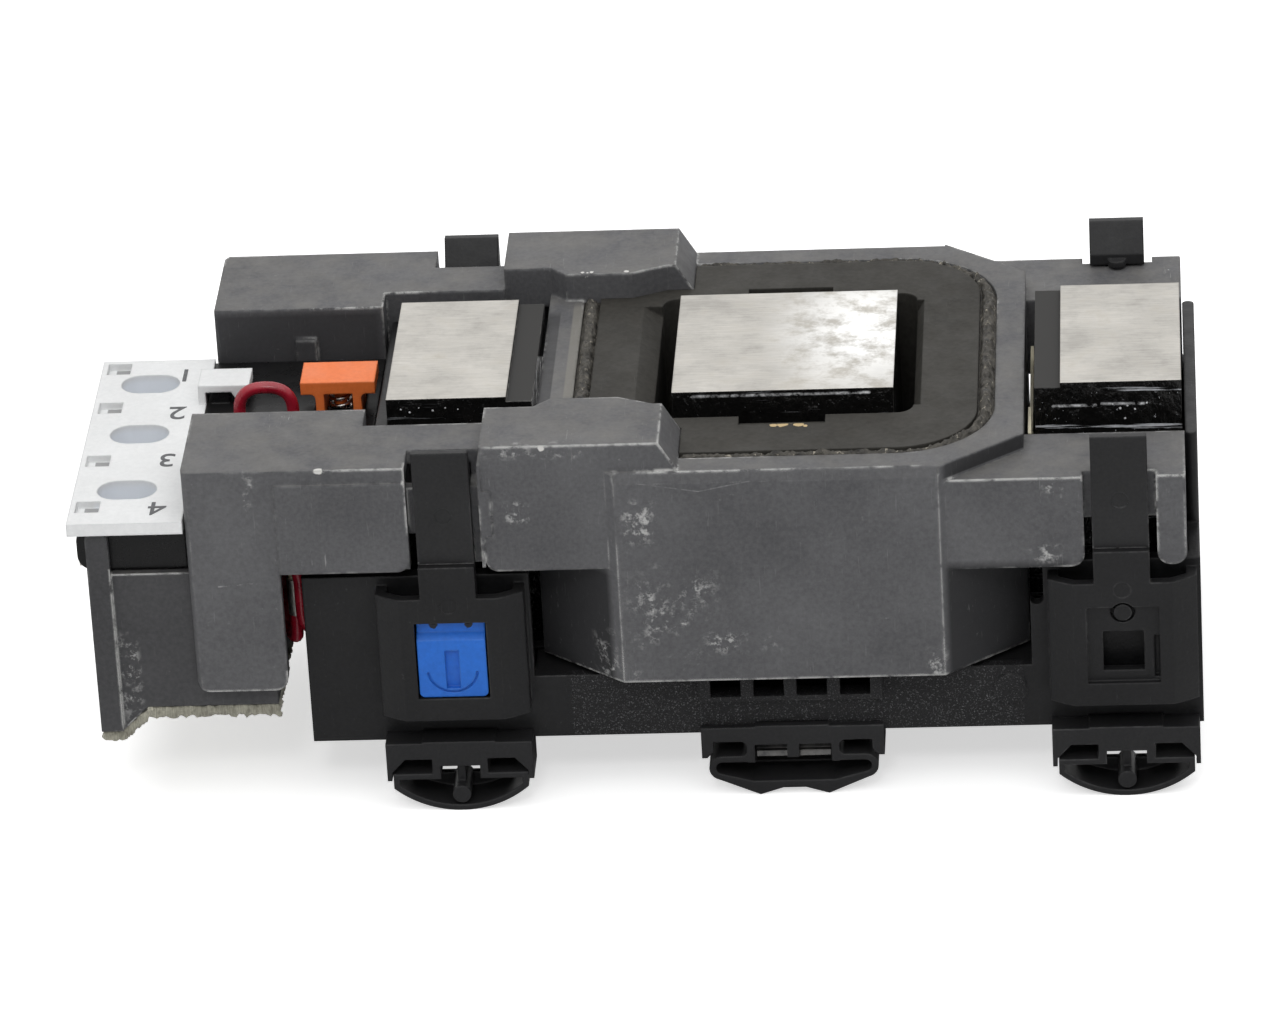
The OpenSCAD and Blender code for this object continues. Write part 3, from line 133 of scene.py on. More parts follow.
def vectorValue(tree, operation, a, b):
    return addNode(tree, "ShaderNodeVectorMath", {0: a, 1: b}, operation=operation).outputs["Value"]


def heightOf(tree, vector):
    return addNode(tree, "ShaderNodeSeparateXYZ", {0: vector}).outputs["Z"]


def mapNode(tree, place, scale, turn=(0.0, 0.0, 0.0)):
    inputs = {"Vector": place, "Rotation": turn, "Scale": scale}
    return addNode(tree, "ShaderNodeMapping", inputs).outputs[0]


def rampNode(tree, value, low, high, outLow=0.0, outHigh=1.0):
    inputs = {"Value": value, "From Min": low, "From Max": high,
              "To Min": outLow, "To Max": outHigh}
    return addNode(tree, "ShaderNodeMapRange", inputs, clamp=True).outputs[0]


def spread(tree, value, outLow=0.0, outHigh=1.0):
    return rampNode(tree, value, *noiseBand, outLow, outHigh)


def noiseNode(tree, place, scale, detail=4.0, rough=0.55):
    inputs = {"Vector": place, "Scale": scale, "Detail": detail, "Roughness": rough}
    return addNode(tree, "ShaderNodeTexNoise", inputs).outputs["Fac"]


def bandedNoise(tree, place, scale, band, **fractal):
    return rampNode(tree, noiseNode(tree, place, scale, **fractal), *band)


def mixColour(tree, factor, a, b):
    a, b = (tone if isinstance(tone, socketType) else (*tone, 1.0) for tone in (a, b))
    return addNode(tree, "ShaderNodeMix", {0: factor, 6: a, 7: b}, data_type="RGBA").outputs[2]


# edge wear and painted edge highlight: where the rounded normal turns from the flat one, broken up
# by two noises; the mask marks worn edges and the line is a thin edge line, both also used as
# painted highlights
edgeBreaks = {"samples": 6, "turn": (0.985, 0.84), "rub": (0.42, 0.6), "line": (0.34, 0.5),
              "stretch": (0.5, 0.62), "stretchScale": 0.08, "least": 0.1}


def makeEdgeWearAndHighlight(values):
    group, given, out = startGroup(
        "edgeWearAndHighlight", [("Radius", 0.0005), ("Breakup", 300.0), ("Amount", 0.5)],
        [("Mask", "Float"), ("Line", "Float"), ("Normal", "Vector")])
    place = piecePlace(group)
    rounded = addNode(group, "ShaderNodeBevel", {"Radius": given["Radius"]},
                      samples=values["samples"]).outputs[0]
    flat = group.nodes.new("ShaderNodeNewGeometry").outputs["Normal"]
    edge = rampNode(group, vectorValue(group, "DOT_PRODUCT", rounded, flat), *values["turn"])
    rubbed = noiseNode(group, place, given["Breakup"], detail=5.0, rough=0.65)
    broadScale = times(group, given["Breakup"], values["stretchScale"])
    stretch = bandedNoise(group, place, broadScale, values["stretch"], detail=3.0, rough=0.6)
    worn = times(group, rampNode(group, rubbed, *values["rub"]),
                 atLeast(group, stretch, values["least"]))
    mask = mathNode(group, "MULTIPLY", times(group, edge, worn), given["Amount"], clamp=True)
    group.links.new(mask, out["Mask"])
    group.links.new(times(group, edge, rampNode(group, rubbed, *values["line"])), out["Line"])
    group.links.new(rounded, out["Normal"])
    return group


# mould grain: fine relief, with a tone and a gloss that drift
grainMix = {"middleScale": 0.22, "broadScale": 0.035, "middleShare": 0.35, "broadShare": 0.55}


def makeMouldGrain(values):
    group, given, out = startGroup("mouldGrain", [("Scale", 900.0)],
                                   [("Height", "Float"), ("Tone", "Float"), ("Gloss", "Float")])
    place = piecePlace(group)
    middleScale = times(group, given["Scale"], values["middleScale"])
    broadScale = times(group, given["Scale"], values["broadScale"])
    fine = noiseNode(group, place, given["Scale"], detail=3.0, rough=0.6)
    middle = noiseNode(group, place, middleScale, detail=4.0, rough=0.55)
    broad = noiseNode(group, place, broadScale, detail=4.0, rough=0.5)
    tone = weigh(group, spread(group, broad), values["broadShare"], spread(group, fine))
    group.links.new(weigh(group, middle, values["middleShare"], fine), out["Height"])
    group.links.new(tone, out["Tone"])
    group.links.new(spread(group, middle), out["Gloss"])
    return group


# scuffs: short scratches laid three ways and specks, gathered in patches
scuffLays = {"ways": ((25, 14.0), (-38, 18.0), (80, 16.0)), "lean": 0.7, "lineScale": 2.4,
             "speckAndSparkleScale": 9.0, "patch": (0.6, 0.72), "line": (0.655, 0.7), "speck": (0.69, 0.74),
             "least": 0.15}


def makeScuffs(values):
    group, given, out = startGroup("scuffs", [("Scale", 60.0), ("Amount", 0.5)],
                                   [("Mask", "Float")])
    place = piecePlace(group)
    lineScale = times(group, given["Scale"], values["lineScale"])
    speckAndSparkleScale = times(group, given["Scale"], values["speckAndSparkleScale"])
    patches = bandedNoise(group, place, given["Scale"], values["patch"], detail=3.0, rough=0.6)
    marks = []
    for angle, stretch in values["ways"]:
        turn = math.radians(angle)
        lay = mapNode(group, place, (stretch, 1.0, 1.0), (turn, turn * values["lean"], turn))
        marks.append(bandedNoise(group, lay, lineScale, values["line"], detail=5.0, rough=0.7))
    marks.append(bandedNoise(group, place, speckAndSparkleScale, values["speck"], detail=3.0, rough=0.7))
    gathered = times(group, most(group, marks), atLeast(group, patches, values["least"]))
    mask = mathNode(group, "MULTIPLY", gathered, given["Amount"], clamp=True)
    group.links.new(mask, out["Mask"])
    return group


# dust: clouds on what faces up
dustFall = {"upward": (0.2, 0.95), "cloud": (0.35, 0.75)}


def makeDust(values):
    group, given, out = startGroup("dust", [("Scale", 150.0), ("Amount", 0.3)],
                                   [("Mask", "Float")])
    facing = heightOf(group, group.nodes.new("ShaderNodeNewGeometry").outputs["Normal"])
    cloud = bandedNoise(group, piecePlace(group), given["Scale"], values["cloud"],
                        detail=5.0, rough=0.65)
    settled = times(group, rampNode(group, facing, *values["upward"]), cloud)
    mask = mathNode(group, "MULTIPLY", settled, given["Amount"], clamp=True)
    group.links.new(mask, out["Mask"])
    return group


edgeWearAndHighlight, mouldGrain = makeEdgeWearAndHighlight(edgeBreaks), makeMouldGrain(grainMix)
scuffs, dust = makeScuffs(scuffLays), makeDust(dustFall)
print("shader groups ready")


def placeGroup(tree, group, **values):
    node = tree.nodes.new("ShaderNodeGroup")
    node.node_tree = group
    for key, value in values.items():
        node.inputs[key].default_value = value
    return node.outputs


def startMaterial(name, roughness=0.5, metallic=0.0, specular=0.5):
    material = bpy.data.materials.new(name)
    material.use_nodes = True
    tree = material.node_tree
    shader = tree.nodes["Principled BSDF"]
    shader.inputs["Roughness"].default_value = roughness
    shader.inputs["Metallic"].default_value = metallic
    shader.inputs["Specular IOR Level"].default_value = specular
    return material, tree, shader


def bumpInto(tree, shader, height, depth, normal=None):
    bump = addNode(tree, "ShaderNodeBump", {"Strength": 1.0, "Distance": depth, "Height": height})
    if normal is not None:
        tree.links.new(normal, bump.inputs["Normal"])
    tree.links.new(bump.outputs[0], shader.inputs["Normal"])


# placed marks: ragged spots, broken scratches and chalky flecks
spotStyle = {"scale": 1400.0, "swing": 1.2, "base": 0.4, "core": 0.8}
scratchStyle = {"scale": 600.0, "breaks": (0.4, 0.62), "core": 0.3}
chalkStyle = {"fleckScale": 520.0, "flecks": (0.51, 0.61), "clumpScale": 190.0,
              "clumps": (0.4, 0.56), "fade": 0.3}


def spotMask(tree, spots):
    # each spot is a place and a reach
    place = piecePlace(tree)
    rough = noiseNode(tree, place, spotStyle["scale"], detail=3.0, rough=0.6)
    ragged = mathNode(tree, "MULTIPLY_ADD", rough, spotStyle["swing"], spotStyle["base"])
    masks = []
    for x, y, z, reach in spots:
        away = times(tree, vectorValue(tree, "DISTANCE", place, (x, y, z)), ragged)
        masks.append(rampNode(tree, away, reach, reach * spotStyle["core"]))
    return most(tree, masks)


def scratchMask(tree, scratches, width):
    # each scratch runs straight from point to point
    place = piecePlace(tree)
    broken = bandedNoise(tree, place, scratchStyle["scale"], scratchStyle["breaks"],
                         detail=4.0, rough=0.7)
    lines = []
    for start, end in scratches:
        along = Vector(end) - Vector(start)
        offset = addNode(tree, "ShaderNodeVectorMath", {0: place, 1: start}, operation="SUBTRACT")
        share = vectorValue(tree, "DOT_PRODUCT", offset.outputs[0],
                            tuple(along / along.length_squared))
        kept = mathNode(tree, "ADD", share, 0.0, clamp=True)
        nearest = addNode(tree, "ShaderNodeVectorMath", {0: tuple(along), "Scale": kept},
                          operation="SCALE")
        away = vectorValue(tree, "DISTANCE", offset.outputs[0], nearest.outputs[0])
        lines.append(rampNode(tree, away, width, width * scratchStyle["core"]))
    return times(tree, most(tree, lines), broken)


def boxMask(tree, boxes, fade):
    # boxes of the part with soft sides, joined into one mask
    parts = addNode(tree, "ShaderNodeSeparateXYZ", {0: piecePlace(tree)}).outputs
    masks = []
    for low, high in boxes:
        sides = []
        for label, a, b in zip("XYZ", low, high):
            soft = (b - a) * fade
            sides.append(rampNode(tree, parts[label], a, a + soft))
            sides.append(rampNode(tree, parts[label], b, b - soft))
        masks.append(times(tree, *sides))
    return most(tree, masks)


def rubbedMask(tree, boxes):
    place = piecePlace(tree)
    flecks = bandedNoise(tree, place, chalkStyle["fleckScale"], chalkStyle["flecks"],
                         detail=7.0, rough=0.75)
    clumps = bandedNoise(tree, place, chalkStyle["clumpScale"], chalkStyle["clumps"],
                         detail=3.0, rough=0.6)
    return times(tree, flecks, clumps, boxMask(tree, boxes, chalkStyle["fade"]))


# moulded plastics: what they share, and one dictionary for each piece after the function
plasticBase = {"specular": 0.4, "edgeBreakup": 420.0, "scuffScale": 60.0, "dustScale": 160.0,
               "paintedLightAndTones": [], "paintedLightFade": 0.06, "lineFade": 0.08, "rubbedShare": 0.9,
               "scratchShare": 0.6, "scratchWidth": 0.00016}


def mouldedPlastic(name, finish):
    values = dict(plasticBase, **finish)
    material, tree, shader = startMaterial(name, specular=values["specular"])
    grain = placeGroup(tree, mouldGrain, Scale=values["grainScale"])
    edge = placeGroup(tree, edgeWearAndHighlight, Radius=values["edgeRadius"], Breakup=values["edgeBreakup"],
                      Amount=values["edgeAmount"])
    mark = placeGroup(tree, scuffs, Scale=values["scuffScale"], Amount=values["scuffAmount"])
    dirt = placeGroup(tree, dust, Scale=values["dustScale"], Amount=values["dustAmount"])
    tone = mixColour(tree, grain["Tone"], values["dark"], values["light"])
    tone = mixColour(tree, dirt["Mask"], tone, values["dustColour"])
    # boxes of painted shade, painted light or plain tone, mixed over the grain
    for boxes, shade, amount in values["paintedLightAndTones"]:
        paintedShare = times(tree, boxMask(tree, boxes, values["paintedLightFade"]), amount)
        tone = mixColour(tree, paintedShare, tone, shade)
    tone = mixColour(tree, mark["Mask"], tone, values["scuffColour"])
    tone = mixColour(tree, edge["Mask"], tone, values["edgeColour"])
    height = grain["Height"]
    # thin bright lines on chosen edges: partly real wear, partly painted highlight
    if "wornAndHighlitEdges" in values:
        line = times(tree, boxMask(tree, values["wornAndHighlitEdges"], values["lineFade"]), edge["Line"])
        tone = mixColour(tree, line, tone, values["edgeColour"])
    if "grit" in values:
        specksAndSparkles = noiseNode(tree, piecePlace(tree), values["gritScale"], detail=2.0, rough=0.6)
        grit = times(tree, boxMask(tree, values["grit"], values["gritFade"]), specksAndSparkles)
        shown = rampNode(tree, grit, *values["gritBand"])
        tone = mixColour(tree, shown, tone, values["gritColour"])
        height = mathNode(tree, "MULTIPLY_ADD", grit, values["gritRise"], height)
    if "rubbed" in values:
        chalk = times(tree, rubbedMask(tree, values["rubbed"]), values["rubbedShare"])
        tone = mixColour(tree, chalk, tone, values["scuffColour"])
    if "scratches" in values:
        lines = scratchMask(tree, values["scratches"], values["scratchWidth"])
        tone = mixColour(tree, times(tree, lines, values["scratchShare"]), tone,
                         values["scuffColour"])
    if "spots" in values:
        tone = mixColour(tree, spotMask(tree, values["spots"]), tone, values["spotColour"])
    tree.links.new(tone, shader.inputs["Base Color"])
    rough = rampNode(tree, grain["Gloss"], 0.0, 1.0, *values["roughness"])
    tree.links.new(rough, shader.inputs["Roughness"])
    bumpInto(tree, shader, height, values["grainDepth"], edge["Normal"])
    return material


# coil casing, with the marks of use on its front, painted shade under its arms and in its recesses,
# and painted highlights along some edges
casingGrey = {
    "dark": (0.074, 0.074, 0.0785), "light": (0.142, 0.1425, 0.148), "roughness": (0.46, 0.62),
    "specular": 0.25, "grainScale": 1500.0, "grainDepth": 0.00006,
    # bright edges: partly real wear, partly painted highlight
    "edgeRadius": 0.0008, "edgeAmount": 1.5, "edgeColour": (0.75, 0.75, 0.73),
    "scuffAmount": 0.6, "scuffColour": (0.52, 0.52, 0.51),
    "dustAmount": 0.5, "dustColour": (0.224, 0.215, 0.194)}
casingMarksAndPaintedLight = {
    "rubbed": [
        ((-0.0245, -0.0392, 0.044), (-0.018, -0.038, 0.0525)),
        ((-0.0245, -0.0392, 0.024), (-0.0085, -0.038, 0.042)),
        ((-0.02, -0.0392, 0.0255), (0.0005, -0.038, 0.03)),
        ((-0.0295, -0.039, 0.0195), (-0.0245, -0.034, 0.031)),
        ((-0.0415, -0.0382, 0.0475), (-0.037, -0.0368, 0.052)),
        ((0.0385, -0.0385, 0.0495), (0.0425, -0.037, 0.0535)),
        ((-0.08, -0.0384, 0.0505), (-0.078, -0.037, 0.0595)),
        ((-0.0455, -0.0394, 0.0584), (-0.026, -0.0352, 0.0616)),
        ((0.035, -0.0386, 0.0392), (0.042, -0.0368, 0.0428)),
        ((-0.024, -0.0394, 0.0195), (-0.021, -0.0376, 0.0245)),
        ((0.0205, -0.0394, 0.0195), (0.0245, -0.0376, 0.027))],
    # edge lines that are partly worn and partly painted highlights
    "wornAndHighlitEdges": [
        ((-0.0445, -0.0392, 0.0597), (-0.0165, -0.0362, 0.0612)),
        ((-0.069, -0.0386, 0.0568), (-0.055, -0.0366, 0.0588)),
        ((0.0548, -0.039, 0.0528), (0.0622, -0.0362, 0.0588)),
        ((0.0225, -0.039, 0.0528), (0.046, -0.0366, 0.0552)),
        ((-0.0255, -0.0392, 0.0195), (0.0235, -0.0376, 0.0232)),
        ((-0.0262, -0.0392, 0.02), (-0.0225, -0.0372, 0.046)),
        ((0.0222, -0.0394, 0.0205), (0.0246, -0.0381, 0.0535)),
        ((-0.0885, -0.0386, 0.0205), (-0.0735, -0.0362, 0.0245)),
        ((-0.0562, -0.0386, 0.0465), (-0.054, -0.0355, 0.0588))],
    "paintedLightAndTones": [
        # painted shade: the slanted faces under the arms on both sides
        ([((-0.0415, -0.0388, 0.015), (-0.0256, -0.02, 0.0403)),
          ((0.0235, -0.0388, 0.015), (0.043, -0.02, 0.0403))], (0.0255, 0.0255, 0.0272), 0.96),
        # a paler band on the rim left of the left pole
        ([((-0.0335, -0.0135, 0.055), (-0.0298, 0.021, 0.0595))], (0.24, 0.228, 0.2), 0.6),
        # painted shade: the rim's inner wall beside the left pole
        ([((-0.0385, -0.0166, 0.05), (-0.0352, 0.018, 0.0598))], (0.036, 0.036, 0.039), 0.8),
        # painted shade: the front-facing inner face of the rear left arm
        ([((-0.09, 0.016, 0.042), (-0.0625, 0.0206, 0.0574))], (0.045, 0.045, 0.048), 0.75),
        # a darker band on the front right, below the top
        ([((0.0237, -0.0386, 0.0539), (0.04, -0.024, 0.0562))], (0.026, 0.026, 0.0275), 0.8)],
    "scratches": [
        ((-0.0238, -0.0385, 0.0552), (-0.012, -0.0385, 0.0532)),
        ((-0.012, -0.0385, 0.0532), (-0.002, -0.0385, 0.0552)),
        ((-0.0402, -0.0376, 0.0508), (-0.0372, -0.0376, 0.0462)),
        ((-0.0615, -0.0376, 0.0535), (-0.0597, -0.0376, 0.0497)),
        ((-0.0292, -0.0376, 0.0548), (-0.0262, -0.0376, 0.0446)),
        ((-0.033, -0.0345, 0.0405), (-0.0268, -0.0385, 0.0325)),
        ((-0.0845, -0.0376, 0.0388), (-0.0795, -0.0376, 0.0392)),
        ((-0.014, -0.0385, 0.0352), (-0.0125, -0.0385, 0.0356))],
    "spotColour": (0.72, 0.71, 0.68),
    "spots": [
        (-0.0683, -0.0375, 0.0578, 0.0007), (-0.032, 0.0222, 0.0606, 0.0004),
        (-0.0313, 0.022, 0.0604, 0.0005), (-0.0306, 0.0222, 0.0606, 0.0004),
        (-0.0252, 0.0222, 0.0607, 0.00045), (-0.035, -0.0373, 0.0604, 0.0005)]}

# bobbin, with a crumb of glue by the centre pole
bobbinDark = {
    "dark": (0.025, 0.0238, 0.021), "light": (0.057, 0.0545, 0.0485), "roughness": (0.5, 0.66),
    "specular": 0.14, "grainScale": 1100.0, "grainDepth": 0.00006,
    "edgeRadius": 0.0004, "edgeAmount": 0.3, "edgeColour": (0.2, 0.2, 0.19),
    "scuffAmount": 0.3, "scuffColour": (0.22, 0.21, 0.19),
    "dustAmount": 0.25, "dustColour": (0.055, 0.05, 0.042)}
gluedCrumb = {
    "spotColour": (0.62, 0.47, 0.26),
    "spots": [
        (-0.0012, -0.0238, 0.0566, 0.0006), (0.0002, -0.0234, 0.0566, 0.001),
        (0.0014, -0.0228, 0.0566, 0.0007), (0.0026, -0.0238, 0.0566, 0.0008),
        (0.0036, -0.0243, 0.0566, 0.0004)]}

# carrier, gritty on the front wall
carrierBlack = {
    "dark": (0.008, 0.008, 0.0086), "light": (0.016, 0.016, 0.017), "roughness": (0.34, 0.48),
    "specular": 0.22, "grainScale": 1900.0, "grainDepth": 0.00006,
    "edgeRadius": 0.0005, "edgeAmount": 0.3, "edgeColour": (0.2, 0.2, 0.2),
    "scuffScale": 90.0, "scuffAmount": 0.3, "scuffColour": (0.3, 0.3, 0.3),
    "dustAmount": 0.1, "dustColour": (0.05, 0.048, 0.045)}
wallGrit = {
    "grit": [((-0.035, -0.0356, 0.002), (0.037, -0.0322, 0.033))], "gritFade": 0.03,
    "gritScale": 4600.0, "gritBand": (0.58, 0.74, 0.0, 0.7), "gritColour": (0.24, 0.24, 0.25),
    "gritRise": 4.0}

# snap arms, with a painted highlight line along the lower step and slight wear on their edges
strapBlack = dict(
    carrierBlack, dark=(0.014, 0.014, 0.0148), light=(0.026, 0.026, 0.027), roughness=(0.4, 0.52),
    grainDepth=0.00004, edgeAmount=0.2, edgeColour=(0.5, 0.5, 0.5), scuffAmount=0.12,
    wornAndHighlitEdges=[((-0.0546, -0.0384, 0.0413), (-0.0458, -0.0372, 0.0424)),
               ((0.0458, -0.0384, 0.0413), (0.0546, -0.0372, 0.0424))])

# feet
footBlack = dict(
    carrierBlack, dark=(0.013, 0.013, 0.0139), light=(0.025, 0.025, 0.0264), roughness=(0.3, 0.44),
    grainDepth=0.00003, edgeAmount=0.35, scuffAmount=0.12)

# terminal housing, its top edge and corner post lighter with partly real wear and partly painted
# highlight
housingGrey = dict(
    casingGrey, dark=(0.042, 0.042, 0.0445), light=(0.08, 0.08, 0.083), edgeRadius=0.0006,
    edgeAmount=0.9, scuffAmount=0.35,
    wornAndHighlitEdges=[((-0.1045, -0.0372, 0.0392), (-0.0885, -0.0342, 0.0415)),
               ((-0.1025, -0.0372, 0.013), (-0.098, -0.0342, 0.041))],
    rubbed=[((-0.1014, -0.038, 0.0135), (-0.0972, -0.0335, 0.031))])

# terminal block and label plate: painted light inside the oval holes, painted shade in the square
# ones
ovalRows = (0.0096, -0.0076, -0.0263)
squareRows = (0.015, 0.0016, -0.0164, -0.0317)
ovalFloors = [((-0.1022, y - 0.003, 0.03), (-0.095, y + 0.003, 0.0446)) for y in ovalRows]
ovalWalls = [((-0.1035, y - 0.0045, 0.03), (-0.0935, y + 0.0045, 0.0496)) for y in ovalRows]
squareShade = [((-0.1047, y - 0.0002, 0.046), (-0.1021, y + 0.0017, 0.0487)) for y in squareRows]
terminalBlack = dict(
    carrierBlack, dark=(0.004, 0.004, 0.0043), light=(0.009, 0.009, 0.0095), roughness=(0.22, 0.4),
    grainDepth=0.00002, scuffAmount=0.1, paintedLightAndTones=[(ovalFloors, (0.65, 0.685, 0.77), 1.0)])
labelWhite = {
    "dark": (0.79, 0.8, 0.803), "light": (0.93, 0.938, 0.938), "roughness": (0.38, 0.5),
    "grainScale": 1300.0, "grainDepth": 0.00003,
    "edgeRadius": 0.0004, "edgeAmount": 0.2, "edgeColour": (0.8, 0.8, 0.8),
    "scuffAmount": 0.25, "scuffColour": (0.4, 0.39, 0.37),
    "dustAmount": 0.12, "dustColour": (0.62, 0.61, 0.59),
    "paintedLightAndTones": [(ovalWalls, (0.93, 0.96, 1.0), 1.0), (squareShade, (0.012, 0.012, 0.013), 1.0)]}

# lock button, with painted shade for two notches in its upper edge
buttonBlue = {
    "dark": (0.008, 0.122, 0.55), "light": (0.015, 0.178, 0.74), "roughness": (0.36, 0.5),
    "grainScale": 1400.0, "grainDepth": 0.00003,
    "edgeRadius": 0.0004, "edgeAmount": 0.3, "edgeColour": (0.16, 0.33, 0.62),
    "scuffAmount": 0.15, "scuffColour": (0.25, 0.4, 0.65),
    "dustAmount": 0.1, "dustColour": (0.1, 0.2, 0.4),
    "spotColour": (0.004, 0.006, 0.012),
    "spots": [(-0.0528, -0.0377, 0.0315, 0.00065), (-0.0475, -0.0377, 0.0315, 0.00065)]}

# auxiliary plunger
plungerOrange = {
    "dark": (0.8, 0.16, 0.032), "light": (1.0, 0.24, 0.06), "roughness": (0.36, 0.5),
    "grainScale": 1400.0, "grainDepth": 0.00003,
    "edgeRadius": 0.0004, "edgeAmount": 0.4, "edgeColour": (1.0, 0.5, 0.25),
    "scuffAmount": 0.2, "scuffColour": (0.5, 0.1, 0.03),
    "dustAmount": 0.1, "dustColour": (0.8, 0.35, 0.18)}

# insulation sheet
sheetCream = {
    "dark": (0.72, 0.66, 0.48), "light": (0.82, 0.77, 0.6), "roughness": (0.45, 0.6),
    "grainScale": 900.0, "grainDepth": 0.00003,
    "edgeRadius": 0.0001, "edgeAmount": 0.2, "edgeColour": (0.9, 0.86, 0.72),
    "scuffAmount": 0.15, "scuffColour": (0.4, 0.35, 0.25),
    "dustAmount": 0.1, "dustColour": (0.6, 0.55, 0.4)}

# core: ground bright steel on the pole faces with a painted highlight patch, black lacquer
# elsewhere with painted highlight streaks, sparkles and glints, and its upward faces painted
# lighter
coreFinish = {
    "specular": 0.3, "faceHeight": 0.0589, "faceFade": 0.00008, "levelTurn": (0.4, 0.8),
    "edge": {"Radius": 0.0003, "Breakup": 500.0, "Amount": 0.8}, "reliefDepth": 0.0011,
    "steelDark": (0.27, 0.258, 0.236), "steelLight": (0.57, 0.55, 0.512),
    "steelRough": (0.34, 0.48), "cloudScale": 120.0, "cloudBand": (0.34, 0.66), "cloudShare": 0.6,
    "grindScale": 260.0, "grindTurn": 14, "grindStretch": (1.0, 16.0, 1.0), "grindRise": 0.03,
    "mottleScale": 240.0, "stainBand": (0.52, 0.74), "stainShare": 0.5,
    "stainColour": (0.3, 0.275, 0.23),
    "gleamSpot": (0.0125, 0.002, 0.059), "gleamSquash": (1.0, 0.6, 1.0),
    "gleamFade": (0.017, 0.002, 0.0, 0.85), "gleamGaps": (0.62, 0.44),
    "gleamColour": (0.95, 0.95, 0.94),
    "lacquerDark": (0.004, 0.004, 0.004), "lacquerLight": (0.012, 0.0115, 0.011),
    # painted light: the lacquer's upward faces get the lighter colour below
    "ledge": (0.045, 0.0442, 0.0428), "ledgeRough": 0.85, "chip": (0.3, 0.29, 0.27),
    "dripScale": 420.0, "dripStretch": (1.0, 1.0, 0.55), "dripRough": (0.35, 0.65, 0.05, 0.2),
    # painted highlights on the lacquer: streaks and sparkles, strongest in the box on the right
    # pole's front
    "highlightLineScale": 900.0, "highlightLineStretch": (0.045, 0.045, 1.0), "highlightLineBand": (0.63, 0.68),
    "speckAndSparkleScale": 1500.0, "sparkleBand": (0.68, 0.73), "highlightStreak": (0.72, 0.74, 0.78),
    "highlightBox": [((0.036, -0.0175, 0.03), (0.066, -0.0145, 0.0588))], "highlightBoxFade": 0.05,
    "highlightBoxLeast": 0.2,
    # painted highlights: glint lines and dots on the pole fronts
    "glintColour": (0.93, 0.94, 0.96), "glintWidth": 0.0003,
    "glints": [
        ((-0.014, -0.0168, 0.0582), (0.013, -0.0168, 0.0582)),
        ((0.0405, -0.0168, 0.0551), (0.0468, -0.0168, 0.0551)),
        ((0.0478, -0.0168, 0.0553), (0.054, -0.0168, 0.0552))],
    "glintDots": [
        (0.0494, -0.0168, 0.0552, 0.00016), (0.0505, -0.0168, 0.0545, 0.0002),
        (0.0516, -0.0168, 0.0549, 0.00016), (0.0527, -0.0168, 0.0543, 0.0002),
        (0.0512, -0.0168, 0.0528, 0.00018), (0.0545, -0.0168, 0.0553, 0.00016),
        (-0.0575, -0.0168, 0.0573, 0.00016), (-0.0562, -0.0168, 0.0568, 0.00016),
        (-0.0548, -0.0168, 0.0575, 0.00013), (-0.0527, -0.0168, 0.057, 0.00016),
        (-0.0508, -0.0168, 0.0574, 0.00016), (-0.0489, -0.0168, 0.0571, 0.00013)]}


